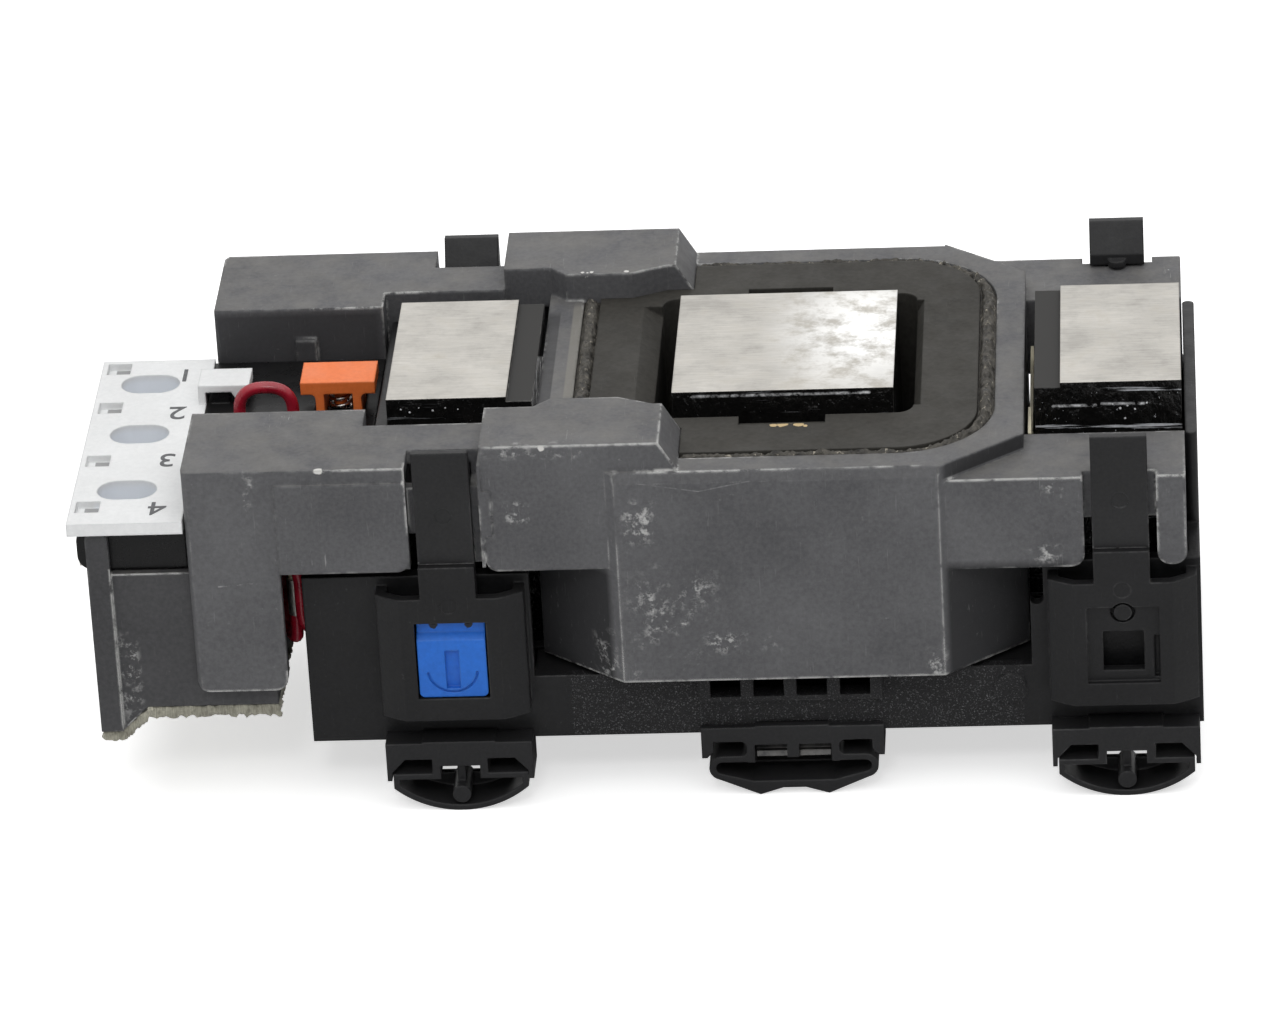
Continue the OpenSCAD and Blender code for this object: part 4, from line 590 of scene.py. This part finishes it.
def coreSteel(values):
    material, tree, shader = startMaterial("poleSteelAndLacquer", specular=values["specular"])
    place = piecePlace(tree)
    facing = heightOf(tree, tree.nodes.new("ShaderNodeNewGeometry").outputs["True Normal"])
    ground = rampNode(tree, heightOf(tree, place), values["faceHeight"],
                      values["faceHeight"] + values["faceFade"])
    painted = mathNode(tree, "SUBTRACT", 1.0, ground)
    level = rampNode(tree, facing, *values["levelTurn"])
    wet = times(tree, painted, mathNode(tree, "SUBTRACT", 1.0, level))
    edge = placeGroup(tree, edgeWearAndHighlight, **values["edge"])

    lay = mapNode(tree, place, values["grindStretch"], (0, 0, math.radians(values["grindTurn"])))
    grind = noiseNode(tree, lay, values["grindScale"], detail=6.0, rough=0.7)
    cloud = noiseNode(tree, place, values["cloudScale"], detail=8.0, rough=0.7)
    mottle = noiseNode(tree, place, values["mottleScale"], detail=6.0, rough=0.7)
    clouded = rampNode(tree, cloud, *values["cloudBand"])
    tone = weigh(tree, clouded, values["cloudShare"], spread(tree, grind))
    steel = mixColour(tree, tone, values["steelDark"], values["steelLight"])
    stain = times(tree, rampNode(tree, mottle, *values["stainBand"]), values["stainShare"])
    steel = mixColour(tree, stain, steel, values["stainColour"])
    # painted highlight: a bright patch on the pole faces round the gleam spot, broken by the mottle
    squashed = mapNode(tree, place, values["gleamSquash"])
    away = vectorValue(tree, "DISTANCE", squashed, values["gleamSpot"])
    gleam = times(tree, rampNode(tree, away, *values["gleamFade"]),
                  rampNode(tree, mottle, *values["gleamGaps"]))
    steel = mixColour(tree, gleam, steel, values["gleamColour"])

    stretched = mapNode(tree, place, values["dripStretch"])
    drip = noiseNode(tree, stretched, values["dripScale"], detail=4.0, rough=0.6)
    paint = mixColour(tree, drip, values["lacquerDark"], values["lacquerLight"])
    # painted light: the lacquer's upward faces are lighter
    paint = mixColour(tree, level, paint, values["ledge"])
    # painted highlights: thin streaks and sparkles on the lacquer's upright faces, strongest in the
    # box on the right pole's front
    highlightLay = mapNode(tree, place, values["highlightLineStretch"])
    runs = bandedNoise(tree, highlightLay, values["highlightLineScale"], values["highlightLineBand"],
                       detail=4.0, rough=0.65)
    specksAndSparkles = bandedNoise(tree, place, values["speckAndSparkleScale"], values["sparkleBand"],
                         detail=3.0, rough=0.65)
    highlightBox = atLeast(tree, boxMask(tree, values["highlightBox"], values["highlightBoxFade"]), values["highlightBoxLeast"])
    shine = times(tree, most(tree, [runs, specksAndSparkles]), wet, highlightBox)
    paint = mixColour(tree, shine, paint, values["highlightStreak"])
    # painted highlights: glint lines and dots on the pole fronts
    glint = most(tree, [scratchMask(tree, values["glints"], values["glintWidth"]),
                        spotMask(tree, values["glintDots"])])
    paint = mixColour(tree, glint, paint, values["glintColour"])
    paint = mixColour(tree, edge["Mask"], paint, values["chip"])

    tree.links.new(mixColour(tree, ground, paint, steel), shader.inputs["Base Color"])
    tree.links.new(ground, shader.inputs["Metallic"])
    steelRough = times(tree, spread(tree, cloud, *values["steelRough"]), ground)
    ledgeRough = times(tree, painted, level, values["ledgeRough"])
    wetRough = times(tree, rampNode(tree, drip, *values["dripRough"]), wet)
    rough = mathNode(tree, "ADD", steelRough, mathNode(tree, "ADD", ledgeRough, wetRough))
    tree.links.new(rough, shader.inputs["Roughness"])
    relief = mathNode(tree, "ADD", times(tree, grind, values["grindRise"], ground),
                      times(tree, drip, wet))
    bumpInto(tree, shader, relief, values["reliefDepth"], edge["Normal"])
    return material


# bare metals: what they share, and one dictionary for each kind of piece after the function
metalBase = {"edgeBreakup": 600.0, "edgeAmount": 0.4, "fineScale": 7.0, "toneBand": (0.32, 0.68)}


def bareMetal(name, finish):
    values = dict(metalBase, **finish)
    material, tree, shader = startMaterial(name, metallic=1.0)
    place = piecePlace(tree)
    edge = placeGroup(tree, edgeWearAndHighlight, Radius=values["edgeRadius"], Breakup=values["edgeBreakup"],
                      Amount=values["edgeAmount"])
    tarnish = noiseNode(tree, place, values["scale"], detail=5.0, rough=0.65)
    fine = noiseNode(tree, place, values["scale"] * values["fineScale"], detail=3.0, rough=0.6)
    drift = rampNode(tree, tarnish, *values["toneBand"])
    tone = mixColour(tree, drift, values["dark"], values["light"])
    tone = mixColour(tree, edge["Mask"], tone, values["edge"])
    tree.links.new(tone, shader.inputs["Base Color"])
    tree.links.new(spread(tree, tarnish, *values["roughness"]), shader.inputs["Roughness"])
    bumpInto(tree, shader, fine, values["depth"], edge["Normal"])
    return material


springSteel = {
    "dark": (0.42, 0.4, 0.37), "light": (0.68, 0.66, 0.63), "edge": (0.8, 0.79, 0.76),
    "roughness": (0.18, 0.34), "scale": 500.0, "depth": 0.00001, "edgeRadius": 0.0001}
stripSteel = dict(
    springSteel, dark=(0.014, 0.014, 0.0145), light=(0.07, 0.068, 0.066), edge=(0.4, 0.39, 0.37),
    roughness=(0.28, 0.42))
contactBrass = {
    "dark": (0.5, 0.34, 0.13), "light": (0.74, 0.55, 0.24), "edge": (0.85, 0.7, 0.4),
    "roughness": (0.24, 0.4), "scale": 300.0, "depth": 0.00001, "edgeRadius": 0.0002}
tinnedCrimp = {
    "dark": (0.4, 0.39, 0.36), "light": (0.62, 0.61, 0.57), "edge": (0.75, 0.74, 0.7),
    "roughness": (0.25, 0.45), "scale": 700.0, "depth": 0.00006, "edgeRadius": 0.0002}
rivetSteel = {
    "dark": (0.05, 0.05, 0.05), "light": (0.12, 0.115, 0.11), "edge": (0.3, 0.29, 0.27),
    "roughness": (0.3, 0.5), "scale": 400.0, "depth": 0.00004, "edgeRadius": 0.0004}


def blendInto(tree, shader, tone, values):
    blend = mixColour(tree, tone, values["dark"], values["light"])
    tree.links.new(blend, shader.inputs["Base Color"])


# winding: rows of enamelled wire round the bobbin
windingCopper = {"dark": (0.24, 0.07, 0.02), "light": (0.62, 0.24, 0.08), "wire": 0.0006,
                 "rise": 0.3, "roughness": 0.28, "metallic": 0.7, "scale": 300.0, "rowShare": 0.5}


def sineRows(tree, distance, pitch):
    waves = mathNode(tree, "SINE", times(tree, distance, math.pi / pitch))
    return mathNode(tree, "ABSOLUTE", waves)


def windingMaterial(values):
    material, tree, shader = startMaterial("enamelledWire", values["roughness"], values["metallic"])
    place = piecePlace(tree)
    row = sineRows(tree, heightOf(tree, place), values["wire"])
    tone = weigh(tree, noiseNode(tree, place, values["scale"]), values["rowShare"], row)
    blendInto(tree, shader, tone, values)
    bumpInto(tree, shader, row, values["wire"] * values["rise"])
    return material


# potting: rough cast resin with pits and pale crumbs
pottingResin = {
    "dark": (0.012, 0.0112, 0.01), "light": (0.125, 0.116, 0.1), "crumb": (0.48, 0.44, 0.36),
    "scale": 650.0, "depth": 0.0006, "specular": 0.35, "roughness": (0.42, 0.75),
    "toneBand": (0.32, 0.68), "pitScale": 1.3, "pitBand": (0.1, 0.6), "pitRise": 0.45,
    "crumbScale": 1.6, "crumbBand": (0.6, 0.69)}


def pottingMaterial(values):
    material, tree, shader = startMaterial("pottingResin", specular=values["specular"])
    place = piecePlace(tree)
    scale = values["scale"]
    lump = noiseNode(tree, place, scale, detail=5.0, rough=0.62)
    pits = addNode(tree, "ShaderNodeTexVoronoi",
                   {"Vector": place, "Scale": scale * values["pitScale"]}).outputs["Distance"]
    relief = mathNode(tree, "MULTIPLY_ADD", rampNode(tree, pits, *values["pitBand"]),
                      values["pitRise"], lump)
    crumbs = bandedNoise(tree, place, scale * values["crumbScale"], values["crumbBand"],
                         detail=4.0, rough=0.7)
    tone = mixColour(tree, rampNode(tree, lump, *values["toneBand"]), values["dark"],
                     values["light"])
    tone = mixColour(tree, crumbs, tone, values["crumb"])
    tree.links.new(tone, shader.inputs["Base Color"])
    tree.links.new(spread(tree, lump, *values["roughness"]), shader.inputs["Roughness"])
    bumpInto(tree, shader, relief, values["depth"])
    return material


# felt: matted fibres in a grey tan
feltTones = {
    "dark": (0.22, 0.21, 0.165), "light": (0.7, 0.68, 0.56), "roughness": 0.95, "specular": 0.15,
    "sheen": 0.3, "fibreScale": 525.0, "fibreTurns": (0, 60, 120), "fibreStretch": (7.0, 1.0, 1.0),
    "fibreBand": (0.45, 0.75), "fibreShare": 0.6, "clumpScale": 260.0, "depth": 0.0005}


def feltMaterial(values):
    material, tree, shader = startMaterial("mattedFelt", values["roughness"],
                                           specular=values["specular"])
    place = piecePlace(tree)
    strands = []
    for angle in values["fibreTurns"]:
        lay = mapNode(tree, place, values["fibreStretch"], (math.radians(angle),) * 3)
        strands.append(noiseNode(tree, lay, values["fibreScale"], detail=3.0, rough=0.7))
    fibres = most(tree, strands)
    clumps = noiseNode(tree, place, values["clumpScale"], detail=4.0, rough=0.6)
    tone = weigh(tree, rampNode(tree, fibres, *values["fibreBand"]), values["fibreShare"],
                 spread(tree, clumps))
    blendInto(tree, shader, tone, values)
    bumpInto(tree, shader, mathNode(tree, "ADD", fibres, clumps), values["depth"])
    shader.inputs["Sheen Weight"].default_value = values["sheen"]
    return material


# leads: smooth red insulation, a little dusty
leadRed = {
    "dark": (0.27, 0.006, 0.018), "light": (0.42, 0.012, 0.032), "roughness": (0.2, 0.36),
    "scale": 350.0, "reliefScale": 1500.0, "depth": 0.00002,
    "dustScale": 400.0, "dustAmount": 0.25, "dustColour": (0.5, 0.16, 0.16)}


def leadMaterial(values):
    material, tree, shader = startMaterial("redInsulation")
    place = piecePlace(tree)
    dirt = placeGroup(tree, dust, Scale=values["dustScale"], Amount=values["dustAmount"])
    drift = noiseNode(tree, place, values["scale"], detail=4.0, rough=0.6)
    tone = mixColour(tree, spread(tree, drift), values["dark"], values["light"])
    tone = mixColour(tree, dirt["Mask"], tone, values["dustColour"])
    tree.links.new(tone, shader.inputs["Base Color"])
    tree.links.new(spread(tree, drift, *values["roughness"]), shader.inputs["Roughness"])
    bumpInto(tree, shader, noiseNode(tree, place, values["reliefScale"], detail=2.0, rough=0.5),
             values["depth"])
    return material


# sleeves: braided glass cloth in cream
sleeveCream = {
    "dark": (0.5, 0.44, 0.29), "light": (0.82, 0.77, 0.6), "roughness": 0.75, "specular": 0.25,
    "braid": 0.0005, "braidShare": 0.7, "scale": 500.0, "depth": 0.0001}


def sleeveMaterial(values):
    material, tree, shader = startMaterial("braidedSleeve", values["roughness"],
                                           specular=values["specular"])
    place = piecePlace(tree)
    parts = addNode(tree, "ShaderNodeSeparateXYZ", {0: place}).outputs
    strands = []
    for operation in ("ADD", "SUBTRACT"):
        across = mathNode(tree, operation, parts["X"], parts["Z"])
        slant = mathNode(tree, "ADD", across, parts["Y"])
        strands.append(sineRows(tree, slant, values["braid"]))
    weave = times(tree, *strands)
    tone = weigh(tree, weave, values["braidShare"], noiseNode(tree, place, values["scale"]))
    blendInto(tree, shader, tone, values)
    bumpInto(tree, shader, weave, values["depth"])
    return material


# ink: the printed numerals
numeralInk = {"dark": (0.05, 0.052, 0.056), "light": (0.13, 0.134, 0.14), "scale": 900.0,
              "band": (0.35, 0.75)}


def inkMaterial(values):
    material, tree, shader = startMaterial("numeralInk")
    tone = bandedNoise(tree, piecePlace(tree), values["scale"], values["band"],
                       detail=4.0, rough=0.65)
    blendInto(tree, shader, tone, values)
    return material


blackStrap = mouldedPlastic("strapBlack", strapBlack)
blackFoot = mouldedPlastic("footBlack", footBlack)
brightSpring = bareMetal("springSteel", springSteel)
brightBrass = bareMetal("contactBrass", contactBrass)
redLead = leadMaterial(leadRed)
finishes = {
    "magnet_carrier": mouldedPlastic("carrierBlack", dict(carrierBlack, **wallGrit)),
    "magnet_core": coreSteel(coreFinish),
    "core_rivets": bareMetal("rivetSteel", rivetSteel),
    "coil_casing": mouldedPlastic("casingGrey", dict(casingGrey, **casingMarksAndPaintedLight)),
    "coil_bobbin": mouldedPlastic("bobbinDark", dict(bobbinDark, **gluedCrumb)),
    "coil_winding": windingMaterial(windingCopper),
    "potting_bead": pottingMaterial(pottingResin),
    "insulation_sheet": mouldedPlastic("sheetCream", sheetCream),
    "lock_button": mouldedPlastic("buttonBlue", buttonBlue),
    "foot_spring_strips": bareMetal("stripSteel", stripSteel),
    "terminal_housing": mouldedPlastic("housingGrey", housingGrey),
    "terminal_block": mouldedPlastic("terminalBlack", terminalBlack),
    "label_plate": mouldedPlastic("labelWhite", labelWhite),
    "felt_pad": feltMaterial(feltTones),
    "terminal_clamps": brightSpring,
    "coil_terminals": brightBrass,
    "fixed_contacts": brightBrass,
    "aux_plunger": mouldedPlastic("plungerOrange", plungerOrange),
    "bridge_contact": brightBrass,
    "lead_crimps": bareMetal("tinnedCrimp", tinnedCrimp),
}
for name in nodes:
    if name.endswith("_snap_arm"):
        finishes[name] = blackStrap
    elif name.endswith("_foot"):
        finishes[name] = blackFoot


def dress(obj, material):
    obj.data.materials.clear()
    obj.data.materials.append(material)


for name, material in finishes.items():
    dress(nodes[name], material)
print("finishes on", len(finishes), "nodes")

# soft pieces: the seam's bead raised into lumps and crumbs, and the felt's ragged faces
beadLumps = {"voxel": 0.0003, "scales": (650.0, 1900.0), "broadShare": 0.6, "push": 0.0013,
             "lift": 0.55, "groove": 0.0006, "halfWidth": 0.0008, "rimTurn": 0.85, "topTurn": 0.3}
feltLumps = {"voxel": 0.0004, "scales": (1100.0, 3100.0), "broadShare": 0.6, "push": 0.0009,
             "limit": 0.5}


def lumpAt(spot, values):
    broad, fine = (noise.noise(spot * scale) for scale in values["scales"])
    return broad * values["broadShare"] + fine * (1 - values["broadShare"])


def ropeShape(mesh, values):
    # high and lumpy in the middle, sunk along both rims
    rims = [vertex.co for vertex in mesh.vertices if abs(vertex.normal.z) < values["rimTurn"]]
    tree = kdtree.KDTree(len(rims))
    for index, spot in enumerate(rims):
        tree.insert(spot, index)
    tree.balance()
    moved = []
    for vertex in mesh.vertices:
        rise = 0.0
        if vertex.normal.z > values["topTurn"]:
            middle = min(1.0, tree.find(vertex.co)[2] / values["halfWidth"])
            lump = max(0.0, values["lift"] + lumpAt(vertex.co, values))
            rise = middle * values["push"] * lump - (1 - middle) * values["groove"]
        moved.append(vertex.co + Vector((0, 0, rise)))
    return moved


def raggedShape(mesh, values):
    moved = []
    for vertex in mesh.vertices:
        lump = max(-values["limit"], min(values["limit"], lumpAt(vertex.co, values)))
        moved.append(vertex.co + vertex.normal * values["push"] * lump)
    return moved


def meshOf(obj):
    bpy.context.view_layer.update()
    depsgraph = bpy.context.evaluated_depsgraph_get()
    return bpy.data.meshes.new_from_object(obj.evaluated_get(depsgraph))


def lumpPiece(name, standsFor, shape, values):
    source = nodes[standsFor]
    shell = bpy.data.objects.new(name + "Shell", source.data.copy())
    shell.matrix_world = source.matrix_world.copy()
    scene.collection.objects.link(shell)
    remesh = shell.modifiers.new("voxels", "REMESH")
    remesh.mode = "VOXEL"
    remesh.voxel_size = values["voxel"]
    mesh = meshOf(shell)
    piece = bpy.data.objects.new(name, mesh)
    piece.matrix_world = source.matrix_world.copy()
    scene.collection.objects.link(piece)
    bpy.data.objects.remove(shell)
    for vertex, spot in zip(mesh.vertices, shape(mesh, values)):
        vertex.co = spot
    for face in mesh.polygons:
        face.use_smooth = True
    dress(piece, finishes[standsFor])
    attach(piece, "base")
    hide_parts(standsFor)


lumpPiece("pottingBead", "potting_bead", ropeShape, beadLumps)
lumpPiece("feltPad", "felt_pad", raggedShape, feltLumps)
print("bead and felt raised")


# round leads, sleeves and springs that stand for the faceted tubes
def tubeAlong(name, routes, diameter, roundness):
    data = bpy.data.curves.new(name, "CURVE")
    data.dimensions = "3D"
    data.bevel_depth, data.bevel_resolution = diameter / 2, roundness
    data.use_fill_caps = True
    for route in routes:
        spline = data.splines.new("POLY")
        spline.points.add(len(route) - 1)
        for point, spot in zip(spline.points, route):
            point.co = (*spot, 1.0)
        spline.use_smooth = True
    obj = bpy.data.objects.new(name, data)
    scene.collection.objects.link(obj)
    return obj


# leads: corners and the reach of each bend in millimetres
loopLead = {"diameter": 0.0019, "runs": [
    {"bends": (4, 3.9, 3.9, 4, 4, 1.8, 1.85), "corners": [
        (-94, -16.4, 40.5), (-83.6, -3, 40.2), (-83.6, -3, 54.8), (-75.4, -3, 54.8),
        (-75.4, -3, 34), (-77.6, -16, 29.3), (-75.9, -24.2, 23.9), (-74.4, -27.6, 24.4),
        (-74.4, -27.6, 28.8)]}]}
shortLead = {"diameter": 0.0019, "runs": [
    {"bends": (1.5, 1.5, 4, 3.2), "corners": [
        (-94, -31.7, 40.5), (-90.5, -31.4, 39.8), (-79, -30, 39.7), (-73.3, -30, 39.3),
        (-73.2, -30, 27), (-68.6, -30, 27)]}]}
leadSleeves = {"diameter": 0.0016, "runs": [
    {"bends": (4, 2), "corners": [
        (-74.4, -27.6, 34.9), (-74.4, -27.6, 44), (-66, -27, 44), (-30, -27, 44)]},
    {"bends": (2, 3, 3.5, 1.3), "corners": [
        (-62.5, -30, 27), (-59.6, -30, 27), (-55.8, -27.2, 30.2), (-51.8, -29.6, 47.4),
        (-47.6, -27, 47.4), (-30, -27, 47.4)]}]}
leadMesh = {"bendSteps": 8, "roundness": 4, "perMetre": 1000}


def bentRoute(values):
    steps, unit = leadMesh["bendSteps"], leadMesh["perMetre"]
    corners = [Vector(corner) / unit for corner in values["corners"]]
    route = [corners[0]]
    for before, corner, after, reach in zip(corners, corners[1:], corners[2:], values["bends"]):
        first = corner + (before - corner).normalized() * reach / unit
        last = corner + (after - corner).normalized() * reach / unit
        for step in range(steps + 1):
            share = step / steps
            route.append(first.lerp(corner, share).lerp(corner.lerp(last, share), share))
    return route + [corners[-1]]


def layLead(name, values, material, standsFor):
    routes = [bentRoute(run) for run in values["runs"]]
    obj = tubeAlong(name, routes, values["diameter"], leadMesh["roundness"])
    dress(obj, material)
    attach(obj, "base")
    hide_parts(standsFor)


layLead("loopLead", loopLead, redLead, "loop_lead")
layLead("shortLead", shortLead, redLead, "short_lead")
layLead("leadSleeves", leadSleeves, sleeveMaterial(sleeveCream), "lead_sleeves")
print("leads laid")

# springs: the start is the end that stays still
plungerSpring = {"radius": 0.0015, "wire": 0.0006, "turns": 6, "length": 0.0077, "keep": 0.605,
                 "start": (-0.0685, 0.0017, 0.04505)}
lockSpring = {"radius": 0.0014, "wire": 0.0004, "turns": 5, "length": 0.0068, "keep": 0.73,
              "start": (-0.0502, -0.03045, 0.0285)}
wireMesh = {"turnSteps": 20, "roundness": 3}


def helixRoute(values, along):
    steps = wireMesh["turnSteps"] * values["turns"]
    side = Vector((1, 0, 0))
    other = along.cross(side)
    rise = values["length"] - values["wire"]
    route = []
    for step in range(steps + 1):
        angle = 2 * math.pi * values["turns"] * step / steps
        height = values["wire"] / 2 + rise * step / steps
        around = side * math.cos(angle) + other * math.sin(angle)
        route.append(Vector(values["start"]) + along * height + values["radius"] * around)
    return route


def addSpring(name, values, along, standsFor):
    # squash works on a mesh's own points
    curve = tubeAlong(name, [helixRoute(values, along)], values["wire"], wireMesh["roundness"])
    solid = bpy.data.objects.new(name + "Wire", meshOf(curve))
    scene.collection.objects.link(solid)
    bpy.data.objects.remove(curve)
    dress(solid, brightSpring)
    for face in solid.data.polygons:
        face.use_smooth = True
    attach(solid, "base")
    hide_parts(standsFor)
    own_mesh(solid)


addSpring("plungerSpring", plungerSpring, Vector((0, 0, 1)), "aux_spring")
addSpring("lockSpring", lockSpring, Vector((0, -1, 0)), "lock_spring")
print("springs wound")

# numerals: plain numbers beside the holes of the label plate, read from the terminal end
numerals = {"size": 0.006, "height": 0.0497, "thickness": 0.00004, "column": -0.0935,
            "rows": [("1", 0.0125), ("2", -0.0005), ("3", -0.0165), ("4", -0.0325)]}


def addNumerals(values):
    ink = inkMaterial(numeralInk)
    for text, y in values["rows"]:
        data = bpy.data.curves.new("numeral" + text, "FONT")
        data.body = text
        data.size = values["size"]
        data.extrude = values["thickness"]
        data.align_x, data.align_y = "CENTER", "CENTER"
        obj = bpy.data.objects.new("numeral" + text, data)
        obj.location = (values["column"], y, values["height"] + values["thickness"])
        obj.rotation_euler = (0, 0, math.pi)
        data.materials.append(ink)
        scene.collection.objects.link(obj)
        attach(obj, "base")


addNumerals(numerals)
print("numerals printed")

# studio: white floor that glows a little for the camera, a broad panel overhead, a weak one
# behind and a small lamp in front, each with its place, aim, size and power
studio = {
    "floorHalf": 4.0, "floorTone": 0.92, "floorDrift": 0.02, "floorScale": 3.0,
    "floorRough": 0.85, "floorSpecular": 0.2, "glow": 0.6, "world": 0.3,
    "lights": [
        ("overheadPanel", (0.0, -0.2, 1.3), (0, 0, 0.03), 2.1, 16.0),
        ("rearPanel", (-0.1, 1.5, 1.1), (0, 0, 0.05), 1.2, 2.0),
        ("frontLamp", (-0.1, -1.2, 1.15), (0, 0, 0.03), 0.25, 2.6)]}


def addFloor(values):
    half, level = values["floorHalf"], values["floorTone"]
    mesh = bpy.data.meshes.new("floor")
    corners = [(-half, -half, 0), (half, -half, 0), (half, half, 0), (-half, half, 0)]
    mesh.from_pydata(corners, [], [(0, 1, 2, 3)])
    floor = bpy.data.objects.new("floor", mesh)
    scene.collection.objects.link(floor)
    material, tree, shader = startMaterial("paleFloor", values["floorRough"],
                                           specular=values["floorSpecular"])
    drift = noiseNode(tree, piecePlace(tree), values["floorScale"])
    tone = mixColour(tree, drift, (level,) * 3, (level + values["floorDrift"],) * 3)
    tree.links.new(tone, shader.inputs["Base Color"])
    seen = tree.nodes.new("ShaderNodeLightPath").outputs["Is Camera Ray"]
    shader.inputs["Emission Color"].default_value = white
    tree.links.new(times(tree, seen, values["glow"]), shader.inputs["Emission Strength"])
    mesh.materials.append(material)


def addWorld(values):
    # bright where it is seen or mirrored, dimmer as light
    world = bpy.data.worlds.new("studioWorld")
    world.use_nodes = True
    sky = world.node_tree
    background = sky.nodes["Background"].inputs
    path = sky.nodes.new("ShaderNodeLightPath").outputs
    rays = ("Is Camera Ray", "Is Glossy Ray", "Is Transmission Ray")
    seen = most(sky, [path[ray] for ray in rays])
    background["Color"].default_value = white
    strength = rampNode(sky, seen, 0.0, 1.0, values["world"], 1.0)
    sky.links.new(strength, background["Strength"])
    scene.world = world


def addLights(values):
    for name, spot, aim, size, power in values["lights"]:
        data = bpy.data.lights.new(name, "AREA")
        data.size, data.energy = size, power
        lamp = bpy.data.objects.new(name, data)
        lamp.location = spot
        lamp.rotation_euler = (Vector(aim) - Vector(spot)).to_track_quat("-Z", "Y").to_euler()
        scene.collection.objects.link(lamp)


addFloor(studio)
addWorld(studio)
addLights(studio)
print("studio lit")
